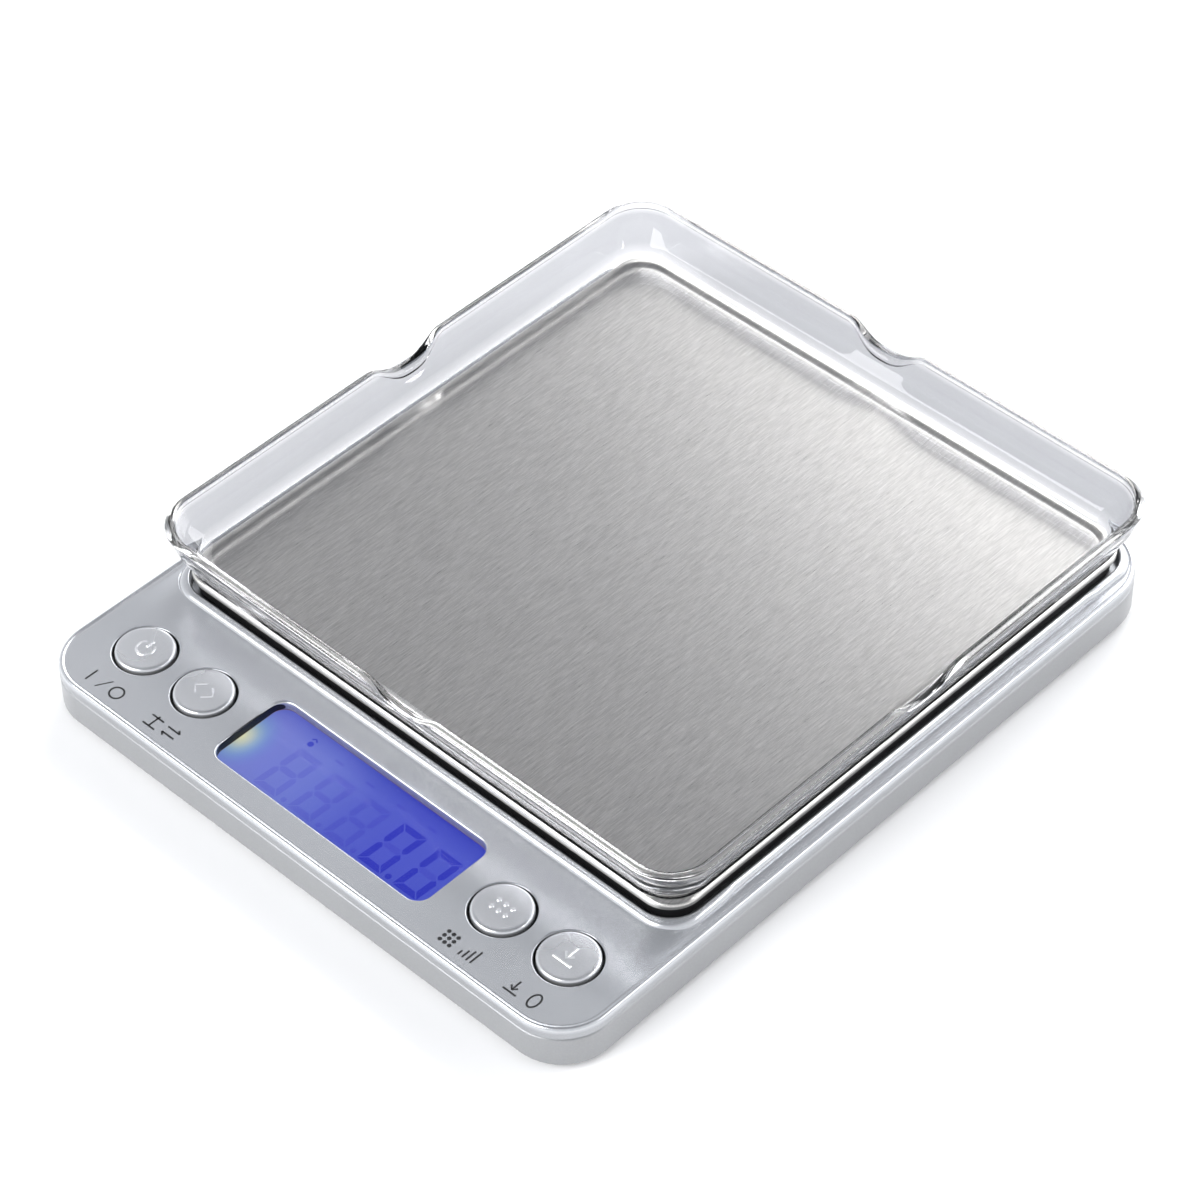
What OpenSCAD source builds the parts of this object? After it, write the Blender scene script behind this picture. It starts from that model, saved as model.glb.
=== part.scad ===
// Digital gram scale with a lift-off clear tray.
// Millimetres. +X right, +Y to the back, +Z up. The origin is on the table, under the case's centre.
// The thin case stands on four feet. Its front strip holds the display and four buttons. Behind the
// strip a raised rim surrounds a well, and in the well a steel platform stands on a load cell.

/* [Case] */
// Width of the case
case_w = 106; // [105.5:0.5:110]
// Depth of the case, front to back
case_d = 127; // [127:0.5:132]
// Corner radius at the front
front_r = 8.5; // [7:0.5:9]
// Corner radius at the back
rear_r = 10; // [8:0.5:10]
// How far the feet stand out under the case
foot_h = 0.7; // [0.6:0.05:0.9]
// Side wall thickness
wall_t = 1.6; // [1.4:0.1:1.8]

/* [Display and buttons] */
// Width of the display opening
window_w = 41.9; // [38:0.1:42]
// Height of the display opening
window_d = 14.4; // [13:0.1:14.6]
// Display and button row, measured from the case's front face to its centre line
row_y = 12.1; // [11.8:0.1:12.4]
// Distance of the inner buttons from the centre line
inner_button_x = 29.9; // [29.8:0.1:30.4]
// Distance of the outer buttons from the centre line
outer_button_x = 42.4; // [42:0.1:42.8]
// Diameter of a button cap
button_d = 9; // [8.6:0.1:9.1]
// How far a button travels
button_travel = 0.35; // [0.2:0.05:0.35]

/* [Platform] */
// Side of the square steel plate
plate_w = 98.8; // [96:0.2:98.8]
// Inside width of the well
well_w = 99.6; // [99.6:0.1:100]
// Width of the raised rim around the well, outside
rim_w = 102.4; // [102.2:0.1:102.6]
// How far the platform can sink before it meets its stops
platform_travel = 0.4; // [0.2:0.05:0.4]

/* [Tray] */
// Side of the tray at its rim
tray_w = 105; // [103:0.2:105]
// Side of the tray at its floor
tray_floor_w = 100; // [98:0.2:101]
// Height of the tray
tray_h = 9; // [8:0.5:12]
// Thickness of the tray's wall
tray_t = 1.45; // [1.2:0.05:1.8]
// Width of each finger notch
notch_w = 15; // [12:0.5:18]
// Depth of each finger notch
notch_h = 2.4; // [1.5:0.1:3]

/* [Hidden] */
$fn = 64;
hull_fn = 32;
fine_fn = 24;
// Small overlap that keeps joined shapes from sharing only a face
eps = 0.01;
// How far a boss goes into the wall that carries it
weld = 0.3;
// Clearances around screws, in screw heads' wells and around parts that slide or drop in
hole_gap = 0.1;
head_gap = 0.2;
slide_gap = 0.05;

// Heights, from the table up
floor_t = 1.2;
floor_z = foot_h + floor_t;
seam_z = 6.2;
panel_z = 8.2;
panel_t = 1.4;
ceiling_z = panel_z - panel_t;
rim_z = 9.4;
well_z = 7.4;
well_t = 1.2;
well_under_z = well_z - well_t;
plate_z = 11.3;
plate_t = 0.5;
plate_edge_h = 1.0;
tape_t = 0.3;
support_z = plate_z - plate_t - tape_t;
support_t = 1.4;
support_under_z = support_z - support_t;
skirt_h = 1.2;

// Plan positions
half_w = case_w / 2;
half_d = case_d / 2;
well_y = half_d - 52.7;
control_y = row_y - half_d;
rim_r = 6.2;
rim_chamfer = 0.3;
rim_inset = 0.4;
// Rounder than the rim, to clear the lower case's lip in the rear corners
well_under_r = 7.7;
well_r = 5.5;
plate_r = 5.1;
// Opening in the well's floor around the load cell
cell_slot = [18, 52.6];

// Case joint, screws and feet
lip_h = 0.8;
lip_t = 0.75;
lip_gap = 0.05;
edge_chamfer = 0.5;
case_screw_xy = [[half_w - 5.8, 5.7 - half_d], [half_w - 6.8, half_d - 7.1]];
boss_r = 2.7;
base_boss_r = 3;
boss_z = 3.2;
screw_r = 1;
thread_gap = 0.02;
screw_head_r = 2.1;
screw_head_h = 1.2;
head_z = foot_h + 0.1;
screw_slot = [2.4, 0.5, 0.8];
screw_tip_gap = 1;
foot_r = 4.5;
foot_sink = 0.4;
foot_ring = 1;
foot_edge = 0.3;
foot_xy = [[half_w - 9.5, 11.5 - half_d], [half_w - 10.5, half_d - 16.5]];
label_size = [49.6, 11.6];
label_y = -24;
label_t = 0.15;
label_sink = 0.2;

// Button fit
hole_r = button_d / 2 + 0.35;
hole_chamfer = 0.25;
cap_proud = 0.55;
flange_r = button_d / 2 + 0.65;
flange_h = 0.6;
cap_round = 0.3;
cap_wall = 1.2;
cap_top_t = 1.1;
stem_r = 1.6;
switch_h = 0.6;
switch_w = 4.5;
nub_h = 0.3;
nub_r = 1.2;
symbol_h = 0.12;
symbol_t = 0.5;
symbol_r = 1.7;
power_gap = [1.2, 2];
power_bar = [0.3, 1.9];
arrow_x = [0.5, 2.1];
arrow_half = 1.3;
dot_r = 0.45;
dot_pitch = [1.3, 0.8];
tare_bar = [3.6, -1.5];
tare_stem = 1.8;
tare_head = [1, 0.4, -0.8];

// Display stack, from the board up
board_z = 2.85;
board_t = 0.9;
board_top = board_z + board_t;
board_half_w = 46;
board_reach = [10, 10.4];
board_front = control_y - board_reach[0];
board_back = control_y + board_reach[1];
backlight_t = 1.1;
lcd_t = 1.3;
lcd_z = board_top + backlight_t;
lcd_w = 46;
lcd_d = 18.6;
lens_t = 0.5;
lens_w = lcd_w - 0.6;
lens_d = lcd_d - 1.2;
lens_r = 1;
lcd_ledge = 1.6;
lcd_frame_t = [1.2, 0.8];
adhesive_t = 0.1;
window_r = 2.3;
// Backlight, its LED and the connector, set in from the LCD's left, front, right and back edges
guide_inset = [2, 0.4, 0.4, 2.4];
led_x = [0.6, 1.9];
led_y = [0.5, 4];
led_drop = 0.2;
connector_half_w = 20;
connector_inset = [2, 0.6];
board_screw_xy = [36.15, 7.4];
board_screw_r = 0.8;
board_screw_head_r = 1.7;
board_screw_head_h = 0.8;
board_boss_r = 1.9;

// Parts on the underside of the board
chip_body = [4.5, 3, 0.7];
pin_count = 10;
pin_pitch = 0.8;
pin_size = [0.18, 4, 0.25];
part_size = [1.6, 0.8, 0.6];
part_pitch = 4;
part_rows = [[-22, -10, 6], [12, 24, -4]];
crystal_size = [5, 2, 0.8];
crystal_at = [14, 5];

// Wires
wire_turn = 2;
gauge_wire_r = 0.45;
gauge_wire_z = 4.5;
gauge_wire_x = 26;
gauge_wire_y = 6;
gauge_wire_pitch = 1.4;
power_wire_r = 0.5;
power_wire_z = 4.8;
power_wire_x = 1.2;
power_wire_pitch = 1.5;
power_block = [3.2, 2];

// Load cell
cell_w = 12;
cell_l = 46;
cell_z = 2.7;
cell_top = 8.3;
cell_mid_z = (cell_z + cell_top) / 2;
cell_eye_r = 1.9;
cell_eye_gap = 10;
cell_slit_h = 1.2;
cell_screw_y = [5, 12];
cell_screw_r = 1.45;
cell_screw_head_r = 2.6;
cell_head_t = 0.9;
cell_thread_top = 1.6;
cell_screw_end = 1.2;
cell_pad_margin = 1;
cell_notch_gap = 0.5;
cell_front = well_y - cell_l / 2;
cell_back = well_y + cell_l / 2;
potting_t = 0.35;
potting_half_w = 5;
potting_half_l = 7;
potting_short = 2.5;
spacer_l = 15.5;
stop_xy = 38;
stop_r = 1.5;
stop_wall = 1.5;
stop_drop = 1.6;

// Battery bay
coin_r = 10;
coin_t = 3.2;
coin_x = 11.5;
coin_y = half_d - 17;
coin_gap = 0.15;
coin_rim = 1.2;
coin_step = 0.4;
coin_z = 2.3;
door_w = 49.6;
door_front = half_d - 29.5;
grip_w = 16;
grip_count = 5;
grip_start = 10;
grip_pitch = 1.4;
grip_groove = 0.7;
grip_depth = 0.3;
door_gap = 0.2;
tongue_w = 0.9;
tongue_h = 0.5;
bay_half_w = 26.4;
bay_wall = 1.2;
bay_back = half_d - 4.3;
contact_slot = [0.6, 2.2];
contact_half_l = 2;
bay_top = coin_z + coin_t;
strip_t = 0.3;
strip_half = [coin_x + 5, 2.5];
foam_half = [20, 6];

// Tray form
tray_r = 6.5;
tray_flare_r = 1.5;
tray_fillet = 2;

// Platform support
support_inset = 0.6;
skirt_inset = 0.8;
skirt_t = 1.4;
rib_x = 24;
rib_half_t = 0.6;
rib_half_l = 47.5;
tape_at = 32;
tape_half = 8;

// ---------- shared shapes ----------

// Rectangle with round corners, centred on the origin
module rounded(w, d, r_front, r_rear) {
    square([w, d - 2 * max(r_front, r_rear)], center = true);
    for (side = [-1, 1]) {
        r = side < 0 ? r_front : r_rear;
        deep = max(r_front, r_rear);
        translate([-(w / 2 - r), side < 0 ? -d / 2 : d / 2 - deep - eps])
            square([w - 2 * r, deep + eps]);
        translate([-w / 2, side < 0 ? -d / 2 + r : d / 2 - deep - eps])
            square([w, deep - r + eps]);
        for (x = [-1, 1])
            translate([x * (w / 2 - r), side * (d / 2 - r)]) circle(r = r);
    }
}

// Slab with round corners between two heights
module slab(w, d, r, z0, z1, r_rear = -1) {
    translate([0, 0, z0])
        linear_extrude(z1 - z0) rounded(w, d, r, r_rear < 0 ? r : r_rear);
}

// Slab with the case's outline, set in from its faces
module case_slab(inset, z0, z1) {
    slab(case_w - 2 * inset, case_d - 2 * inset, front_r - inset, z0, z1, rear_r - inset);
}

// Slab centred on the well
module well_slab(w, r, z0, z1) {
    translate([0, well_y, 0]) slab(w, w, r, z0, z1);
}

// Block given by its lowest corner and its highest corner
module block(low, high) {
    translate(low) cube(high - low);
}

// Upright round bar
module post(x, y, r, z0, z1) {
    translate([x, y, z0]) cylinder(r = r, h = z1 - z0);
}

// Children on the left and on the right
module both_sides() {
    for (flip = [0, 1]) mirror([flip, 0, 0]) children();
}

// Where screws, feet, stops, buttons and cells stand, as [x, y] or as x
case_screws_at = [for (x = [-1, 1], p = case_screw_xy) [x * p[0], p[1]]];
feet_at = [for (x = [-1, 1], p = foot_xy) [x * p[0], p[1]]];
board_screws_at = [for (x = [-1, 1], y = [-1, 1])
    [x * board_screw_xy[0], control_y + y * board_screw_xy[1]]];
stops_at = [for (x = [-1, 1], y = [-1, 1]) [x * stop_xy, well_y + y * stop_xy]];
buttons_at = [-outer_button_x, -inner_button_x, inner_button_x, outer_button_x];
coins_at = [-coin_x, coin_x];

// Wire that runs through a list of points
module wire(points, r) {
    for (i = [0 : len(points) - 2]) {
        run = points[i + 1] - points[i];
        tilt = acos(run[2] / norm(run));
        turn = atan2(run[1], run[0]);
        translate(points[i]) {
            rotate([0, tilt, turn]) cylinder(r = r, h = norm(run), $fn = fine_fn);
            if (i > 0) sphere(r = r, $fn = fine_fn);
        }
    }
}

// ---------- case ----------

module lower_case() {
    color([0.74, 0.75, 0.76])
    difference() {
        union() {
            difference() {
                union() {
                    case_slab(edge_chamfer, foot_h, foot_h + edge_chamfer);
                    case_slab(0, foot_h + edge_chamfer, seam_z);
                    case_slab(wall_t - lip_t, seam_z - eps, seam_z + lip_h);
                }
                case_slab(wall_t, floor_z, seam_z + lip_h + eps);
            }
            for (p = case_screws_at) post(p[0], p[1], base_boss_r, floor_z - weld, boss_z);
            load_cell_pad();
            battery_bay();
            for (p = feet_at) post(p[0], p[1], foot_r + foot_ring, floor_z - weld, floor_z + foot_sink);
        }
        for (p = case_screws_at) {
            post(p[0], p[1], screw_head_r + head_gap, 0, head_z + screw_head_h);
            post(p[0], p[1], screw_r + head_gap, 0, boss_z + eps);
        }
        for (p = feet_at) post(p[0], p[1], foot_r, 0, foot_h + foot_sink);
        for (y = cell_screw_y) {
            post(0, cell_front + y, cell_screw_head_r + head_gap, 0, head_z + cell_head_t);
            post(0, cell_front + y, cell_screw_r + hole_gap, 0, cell_z + eps);
        }
        door_opening();
        label_block(head_gap, 0, foot_h + label_sink);
    }
}

// Flat block with the label's outline, wider by a margin
module label_block(margin, z0, z1) {
    half = label_size / 2 + [margin, margin];
    block([-half[0], label_y - half[1], z0], [half[0], label_y + half[1], z1]);
}

// Raised pad that the load cell's fixed end is screwed down to
module load_cell_pad() {
    pad_l = cell_screw_y[0] + cell_screw_y[1];
    half = cell_w / 2 + cell_pad_margin;
    block([-half, cell_front - cell_pad_margin, floor_z - weld], [half, cell_front + pad_l, cell_z]);
}

// Walls that hold the two coin cells
module battery_bay() {
    difference() {
        block([-bay_half_w, door_front - door_gap - bay_wall, floor_z - weld],
              [bay_half_w, bay_back, bay_top]);
        block([-cell_w / 2 - cell_notch_gap, 0, cell_z - cell_notch_gap],
              [cell_w / 2 + cell_notch_gap, cell_back + cell_notch_gap, rim_z]);
        for (x = coins_at) post(x, coin_y, coin_r + coin_gap, 0, bay_top + eps);
        both_sides()
            translate([coin_x + coin_r, coin_y, 0])
                block([-contact_slot[0], -contact_slot[1], 0],
                      [contact_slot[0], contact_slot[1], bay_top + eps]);
    }
}

// Opening that the battery door slides into from the back, with a groove on each side
module door_opening() {
    half = door_w / 2 + door_gap;
    groove_z = foot_h + (floor_t - tongue_h) / 2;
    block([-half, door_front - door_gap, 0], [half, half_d + wall_t, coin_z + slide_gap]);
    block([-half - tongue_w, door_front - door_gap, groove_z - slide_gap],
          [half + tongue_w, half_d + wall_t, groove_z + tongue_h + slide_gap]);
}

module upper_case() {
    lip_out = wall_t - lip_t - lip_gap;
    color([0.79, 0.80, 0.82])
    difference() {
        union() {
            difference() {
                union() {
                    case_slab(0, seam_z, panel_z - edge_chamfer);
                    case_slab(edge_chamfer / 2, panel_z - edge_chamfer - eps, panel_z - edge_chamfer / 2);
                    case_slab(edge_chamfer, panel_z - edge_chamfer / 2 - eps, panel_z);
                }
                difference() {
                    case_slab(lip_out, seam_z - eps, seam_z + lip_h + lip_gap);
                    case_slab(wall_t + lip_gap, 0, rim_z);
                }
                case_slab(wall_t, seam_z - eps, ceiling_z);
            }
            well_slab(rim_w - 2 * rim_inset, well_under_r, well_under_z, ceiling_z + panel_t / 2);
            well_slab(rim_w, rim_r, ceiling_z + panel_t / 2 - eps, rim_z - rim_chamfer);
            well_slab(rim_w - 2 * rim_chamfer, rim_r - rim_chamfer, rim_z - rim_chamfer - eps, rim_z);
            for (p = case_screws_at) post(p[0], p[1], boss_r, boss_z, ceiling_z + weld);
            for (p = board_screws_at) post(p[0], p[1], board_boss_r, board_top, ceiling_z + weld);
            for (p = stops_at) post(p[0], p[1], stop_r + stop_wall, well_under_z - stop_drop, well_z);
        }
        well_slab(well_w, well_r, well_z, rim_z + eps);
        translate([0, well_y, rim_z / 2]) cube([cell_slot[0], cell_slot[1], rim_z], center = true);
        for (p = case_screws_at) post(p[0], p[1], screw_r, 0, ceiling_z);
        for (p = board_screws_at) post(p[0], p[1], board_screw_r, 0, ceiling_z);
        for (p = stops_at) post(p[0], p[1], stop_r, 0, rim_z);
        for (x = buttons_at) {
            post(x, control_y, hole_r, 0, rim_z);
            post(x, control_y, hole_r + hole_chamfer, panel_z - hole_chamfer, rim_z);
        }
        translate([0, control_y, 0]) slab(window_w, window_d, window_r, 0, rim_z);
    }
}

module case_screws() {
    color([0.55, 0.56, 0.58])
    for (p = case_screws_at) {
        difference() {
            post(p[0], p[1], screw_head_r, head_z, head_z + screw_head_h);
            for (turn = [0, 90])
                translate([p[0], p[1], head_z])
                    rotate([0, 0, turn]) cube(screw_slot, center = true);
        }
        post(p[0], p[1], screw_r - thread_gap, head_z + screw_head_h - weld, ceiling_z - screw_tip_gap);
    }
}

module rubber_feet() {
    color([0.2, 0.2, 0.21])
    for (p = feet_at) {
        post(p[0], p[1], foot_r - foot_edge, 0, foot_edge);
        post(p[0], p[1], foot_r - slide_gap, foot_edge - eps, foot_h + foot_sink);
    }
}

module blank_label() {
    color([0.85, 0.85, 0.84])
    label_block(0, foot_h + label_sink - label_t, foot_h + label_sink);
}

module overload_stops() {
    top = support_under_z - platform_travel - slide_gap;
    color([0.6, 0.6, 0.62])
    for (p = stops_at)
        difference() {
            post(p[0], p[1], stop_r - thread_gap, well_under_z - stop_drop / 2, top);
            translate([p[0], p[1], top]) cube(screw_slot, center = true);
        }
}

// ---------- display ----------

module display_window() {
    color([0.85, 0.9, 1, 0.3])
    translate([0, control_y, 0])
        slab(lens_w, lens_d, lens_r, ceiling_z - adhesive_t - lens_t, ceiling_z - adhesive_t);
}

module window_adhesive() {
    color([0.45, 0.3, 0.2])
    translate([0, control_y, 0])
        difference() {
            slab(lens_w - 2 * hole_gap, lens_d - 2 * hole_gap, lens_r, ceiling_z - adhesive_t, ceiling_z);
            slab(window_w, window_d, window_r, 0, ceiling_z + eps);
        }
}

module lcd_panel() {
    color([0.3, 0.33, 0.8])
    translate([0, control_y, 0]) {
        block([-lcd_w / 2, -lcd_d / 2, lcd_z], [lcd_w / 2, lcd_d / 2, lcd_z + lcd_t / 2]);
        block([-lcd_w / 2, -lcd_d / 2, lcd_z + lcd_t / 2 - eps],
              [lcd_w / 2, lcd_d / 2 - lcd_ledge, lcd_z + lcd_t]);
    }
}

module lcd_frame() {
    color([0.9, 0.9, 0.88])
    translate([0, control_y, 0])
        difference() {
            slab(lcd_w + 2 * lcd_frame_t[0], lcd_d + 2 * lcd_frame_t[1], lens_r, board_top, lcd_z + lcd_t);
            block([-lcd_w / 2 - slide_gap, -lcd_d / 2 - slide_gap, 0],
                  [lcd_w / 2 + slide_gap, lcd_d / 2 + slide_gap, rim_z]);
        }
}

module backlight_panel() {
    color([0.93, 0.95, 1])
    translate([0, control_y, 0])
        block([guide_inset[0] - lcd_w / 2, guide_inset[1] - lcd_d / 2, board_top],
              [lcd_w / 2 - guide_inset[2], lcd_d / 2 - guide_inset[3], lcd_z]);
}

module backlight_led() {
    color([1, 1, 0.85])
    translate([-lcd_w / 2, control_y, 0])
        block([led_x[0], led_y[0], board_top], [led_x[1], led_y[1], lcd_z - led_drop]);
}

module lcd_connector() {
    color([0.85, 0.55, 0.5])
    translate([0, control_y + lcd_d / 2, 0])
        block([-connector_half_w, -connector_inset[0], board_top],
              [connector_half_w, -connector_inset[1], lcd_z]);
}

// ---------- electronics ----------

module main_board() {
    color([0.1, 0.4, 0.25])
    difference() {
        block([-board_half_w, board_front, board_z], [board_half_w, board_back, board_top]);
        for (p = case_screws_at) post(p[0], p[1], boss_r + 3 * head_gap, 0, rim_z);
        for (p = board_screws_at) post(p[0], p[1], board_screw_r + head_gap, 0, rim_z);
    }
}

module controller_chip() {
    color([0.1, 0.1, 0.1])
    translate([0, control_y, board_z]) {
        block(-chip_body, [chip_body[0], chip_body[1], 0]);
        for (i = [0 : pin_count - 1])
            translate([(i - (pin_count - 1) / 2) * pin_pitch, 0, 0])
                block(-pin_size, [pin_size[0], pin_size[1], 0]);
    }
}

module board_components() {
    color([0.75, 0.65, 0.5])
    for (row = part_rows, x = [row[0] : part_pitch : row[1]])
        translate([x, control_y + row[2], board_z - part_size[2]]) cube(part_size);
    color([0.8, 0.8, 0.82])
    translate([crystal_at[0], control_y + crystal_at[1], board_z - crystal_size[2]]) cube(crystal_size);
}

module tact_switches() {
    color([0.7, 0.7, 0.72])
    for (x = buttons_at) translate([x, control_y, board_top]) {
        translate([0, 0, switch_h / 2]) cube([switch_w, switch_w, switch_h], center = true);
        cylinder(r = nub_r, h = switch_h + nub_h);
    }
}

module board_screws() {
    color([0.55, 0.56, 0.58])
    for (p = board_screws_at) {
        post(p[0], p[1], board_screw_head_r, board_z - board_screw_head_h, board_z);
        post(p[0], p[1], board_screw_r - thread_gap, board_z - weld, ceiling_z - screw_tip_gap);
    }
}

// ---------- load cell ----------

module load_cell() {
    color([0.78, 0.79, 0.8])
    difference() {
        block([-cell_w / 2, cell_front, cell_z], [cell_w / 2, cell_back, cell_top]);
        for (y = [-1, 1])
            translate([-cell_w, well_y + y * cell_eye_gap / 2, cell_mid_z])
                rotate([0, 90, 0]) cylinder(r = cell_eye_r, h = 2 * cell_w);
        translate([0, well_y, cell_mid_z]) cube([2 * cell_w, cell_eye_gap, cell_slit_h], center = true);
        for (y = cell_screw_y) {
            post(0, cell_front + y, cell_screw_r, 0, cell_mid_z + cell_thread_top);
            post(0, cell_back - y, cell_screw_r, cell_mid_z - cell_thread_top, rim_z);
        }
    }
}

module gauge_potting() {
    color([0.95, 0.95, 0.93]) {
        translate([0, well_y, 0]) {
            block([-potting_half_w, -potting_half_l, cell_top],
                  [potting_half_w, potting_half_l, cell_top + potting_t]);
            block([-potting_half_w, potting_short - potting_half_l, cell_z - potting_t],
                  [potting_half_w, potting_half_l, cell_z]);
        }
    }
}

module gauge_wires() {
    z = gauge_wire_z;
    y_end = board_back - wire_turn;
    color([0.8, 0.15, 0.1])
    for (i = [0 : 3]) {
        x = -gauge_wire_x - gauge_wire_pitch * i;
        y = well_y + gauge_wire_y - gauge_wire_pitch * i;
        wire([[-cell_w / 2, y, z], [x, y, z], [x, y_end, z], [x, y_end, board_top]], gauge_wire_r);
    }
}

module load_cell_base_screws() {
    color([0.5, 0.51, 0.53])
    for (y = cell_screw_y) {
        post(0, cell_front + y, cell_screw_head_r, head_z, head_z + cell_head_t);
        post(0, cell_front + y, cell_screw_r - thread_gap, head_z + cell_head_t - weld,
             cell_mid_z + cell_screw_end);
    }
}

// ---------- batteries ----------

module battery_wires() {
    z = power_wire_z;
    y_end = board_back - wire_turn;
    color([0.15, 0.15, 0.16])
    for (i = [0, 1]) {
        x = bay_half_w + power_wire_x + power_wire_pitch * i;
        wire([[x - hole_gap, door_front + wire_turn + power_block[1] / 2, z], [x, y_end, z],
              [x, y_end, board_top]], power_wire_r);
    }
    color([0.15, 0.15, 0.16])
    translate([bay_half_w, door_front + wire_turn, 0])
        block([0, 0, z - power_wire_r], [power_block[0], power_block[1], z + power_wire_r]);
}

module coin_cell(x) {
    color([0.8, 0.8, 0.82])
    translate([x, coin_y, coin_z]) {
        cylinder(r = coin_r, h = coin_t - coin_step);
        cylinder(r = coin_r - coin_rim, h = coin_t);
    }
}

module coin_cell_left() {
    coin_cell(-coin_x);
}

module coin_cell_right() {
    coin_cell(coin_x);
}

module battery_link_strip() {
    color([0.85, 0.83, 0.75])
    block([-strip_half[0], coin_y - strip_half[1], bay_top],
          [strip_half[0], coin_y + strip_half[1], bay_top + strip_t]);
}

module battery_side_contacts() {
    color([0.85, 0.83, 0.75])
    both_sides()
        translate([coin_x + coin_r, coin_y, 0])
            block([coin_gap, -contact_half_l, coin_z + coin_step],
                  [coin_gap + strip_t, contact_half_l, bay_top]);
}

module battery_door() {
    tongue_z = foot_h + (floor_t - tongue_h) / 2;
    color([0.72, 0.73, 0.74])
    difference() {
        union() {
            block([-door_w / 2, door_front, foot_h], [door_w / 2, half_d, floor_z]);
            block([-door_w / 2 - tongue_w, door_front, tongue_z],
                  [door_w / 2 + tongue_w, half_d - wall_t, tongue_z + tongue_h]);
            block([-door_w / 2, half_d - wall_t, foot_h], [door_w / 2, half_d, coin_z]);
        }
        for (i = [0 : grip_count - 1])
            translate([0, half_d - grip_start + grip_pitch * i, 0])
                block([-grip_w / 2, 0, 0], [grip_w / 2, grip_groove, foot_h + grip_depth]);
    }
}

module battery_door_foam() {
    color([0.3, 0.3, 0.3])
    block([-foam_half[0], coin_y - foam_half[1], floor_z],
          [foam_half[0], coin_y + foam_half[1], coin_z - slide_gap]);
}

// ---------- platform ----------

// Slab with the plate's outline, set in from its faces
module inset_slab(inset, z0, z1) {
    well_slab(plate_w - 2 * inset, plate_r - inset, z0, z1);
}

module platform_support() {
    skirt_z = support_under_z - skirt_h;
    color([0.05, 0.05, 0.05])
    difference() {
        union() {
            inset_slab(support_inset, support_under_z, support_z);
            difference() {
                inset_slab(skirt_inset, skirt_z, support_under_z + weld);
                inset_slab(skirt_inset + skirt_t, 0, support_under_z);
            }
            for (x = [-rib_x, rib_x])
                translate([x, well_y, 0])
                    block([-rib_half_t, -rib_half_l, skirt_z + weld],
                          [rib_half_t, rib_half_l, support_under_z + weld]);
        }
        for (y = cell_screw_y) {
            post(0, cell_back - y, cell_screw_r + hole_gap, 0, support_z + eps);
            post(0, cell_back - y, cell_screw_head_r + head_gap, support_z - cell_head_t, support_z + eps);
        }
    }
}

module platform_plate() {
    color([0.78, 0.78, 0.77])
    difference() {
        inset_slab(0, plate_z - plate_edge_h, plate_z);
        inset_slab(plate_t, 0, plate_z - plate_t);
    }
}

module plate_tapes() {
    color([0.9, 0.9, 0.85])
    for (x = [-1, 1], y = [-1, 1])
        translate([x * tape_at, well_y + y * tape_at, 0])
            block([-tape_half, -tape_half, support_z], [tape_half, tape_half, support_z + tape_t]);
}

module load_cell_spacer() {
    color([0.6, 0.61, 0.63])
    difference() {
        block([-cell_w / 2, cell_back - spacer_l, cell_top], [cell_w / 2, cell_back, support_under_z]);
        for (y = cell_screw_y) post(0, cell_back - y, cell_screw_r + hole_gap, 0, rim_z);
    }
}

module platform_screws() {
    color([0.5, 0.51, 0.53])
    for (y = cell_screw_y) {
        post(0, cell_back - y, cell_screw_head_r, support_z - cell_head_t, support_z - hole_gap);
        post(0, cell_back - y, cell_screw_r - thread_gap, cell_mid_z - cell_screw_end,
             support_z - cell_head_t + weld);
    }
}

// ---------- tray ----------

// Solid with sloping sides, from the tray's floor up to its rim
module tray_form(floor_w, rim_width, r, z0, z1) {
    fillet = tray_fillet;
    hull() {
        tray_layer(floor_w - 2 * fillet, r, z0);
        tray_layer(floor_w - 0.6 * fillet, r, z0 + 0.3 * fillet);
        tray_layer(floor_w, r, z0 + fillet);
        tray_layer(rim_width, r + tray_flare_r, z1 - eps);
    }
}

// Thin square layer with round corners
module tray_layer(w, r, z) {
    translate([0, well_y, z]) linear_extrude(eps) rounded(w, w, r, r, $fn = hull_fn);
}

module tray() {
    rim_top = plate_z + tray_h;
    notch_r = (notch_w * notch_w / 4 + notch_h * notch_h) / (2 * notch_h);
    color([0.85, 0.87, 0.95, 0.35])
    difference() {
        tray_form(tray_floor_w, tray_w, tray_r, plate_z, rim_top);
        tray_form(tray_floor_w - 2 * tray_t, tray_w - 2 * tray_t, tray_r - tray_t, plate_z + tray_t,
                  rim_top + 2 * eps);
        for (turn = [0, 90])
            translate([0, well_y, rim_top + notch_r - notch_h])
                rotate([90, 0, turn]) cylinder(r = notch_r, h = 2 * tray_w, center = true);
    }
}

// ---------- buttons ----------

// Cap with a retaining flange and a stem that presses its switch
module button(x) {
    top = panel_z + cap_proud;
    color([0.8, 0.81, 0.82])
    translate([x, control_y, 0]) {
        difference() {
            union() {
                post(0, 0, button_d / 2, ceiling_z - flange_h, top - cap_round);
                post(0, 0, button_d / 2 - cap_round, top - cap_round - eps, top);
                post(0, 0, flange_r, ceiling_z - flange_h - slide_gap, ceiling_z - slide_gap);
            }
            post(0, 0, button_d / 2 - cap_wall, 0, top - cap_top_t);
        }
        post(0, 0, stem_r, board_top + switch_h + nub_h + button_travel + slide_gap, top - cap_top_t + weld);
        translate([0, 0, top - eps]) linear_extrude(symbol_h) children();
    }
}

// Ring with a gap at the top and a bar in the gap
module button_power() {
    button(-outer_button_x) {
        difference() {
            circle(r = symbol_r);
            circle(r = symbol_r - symbol_t);
            translate([-power_gap[0] / 2, 0]) square(power_gap);
        }
        translate([-symbol_t / 2, power_bar[0]]) square([symbol_t, power_bar[1]]);
    }
}

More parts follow.
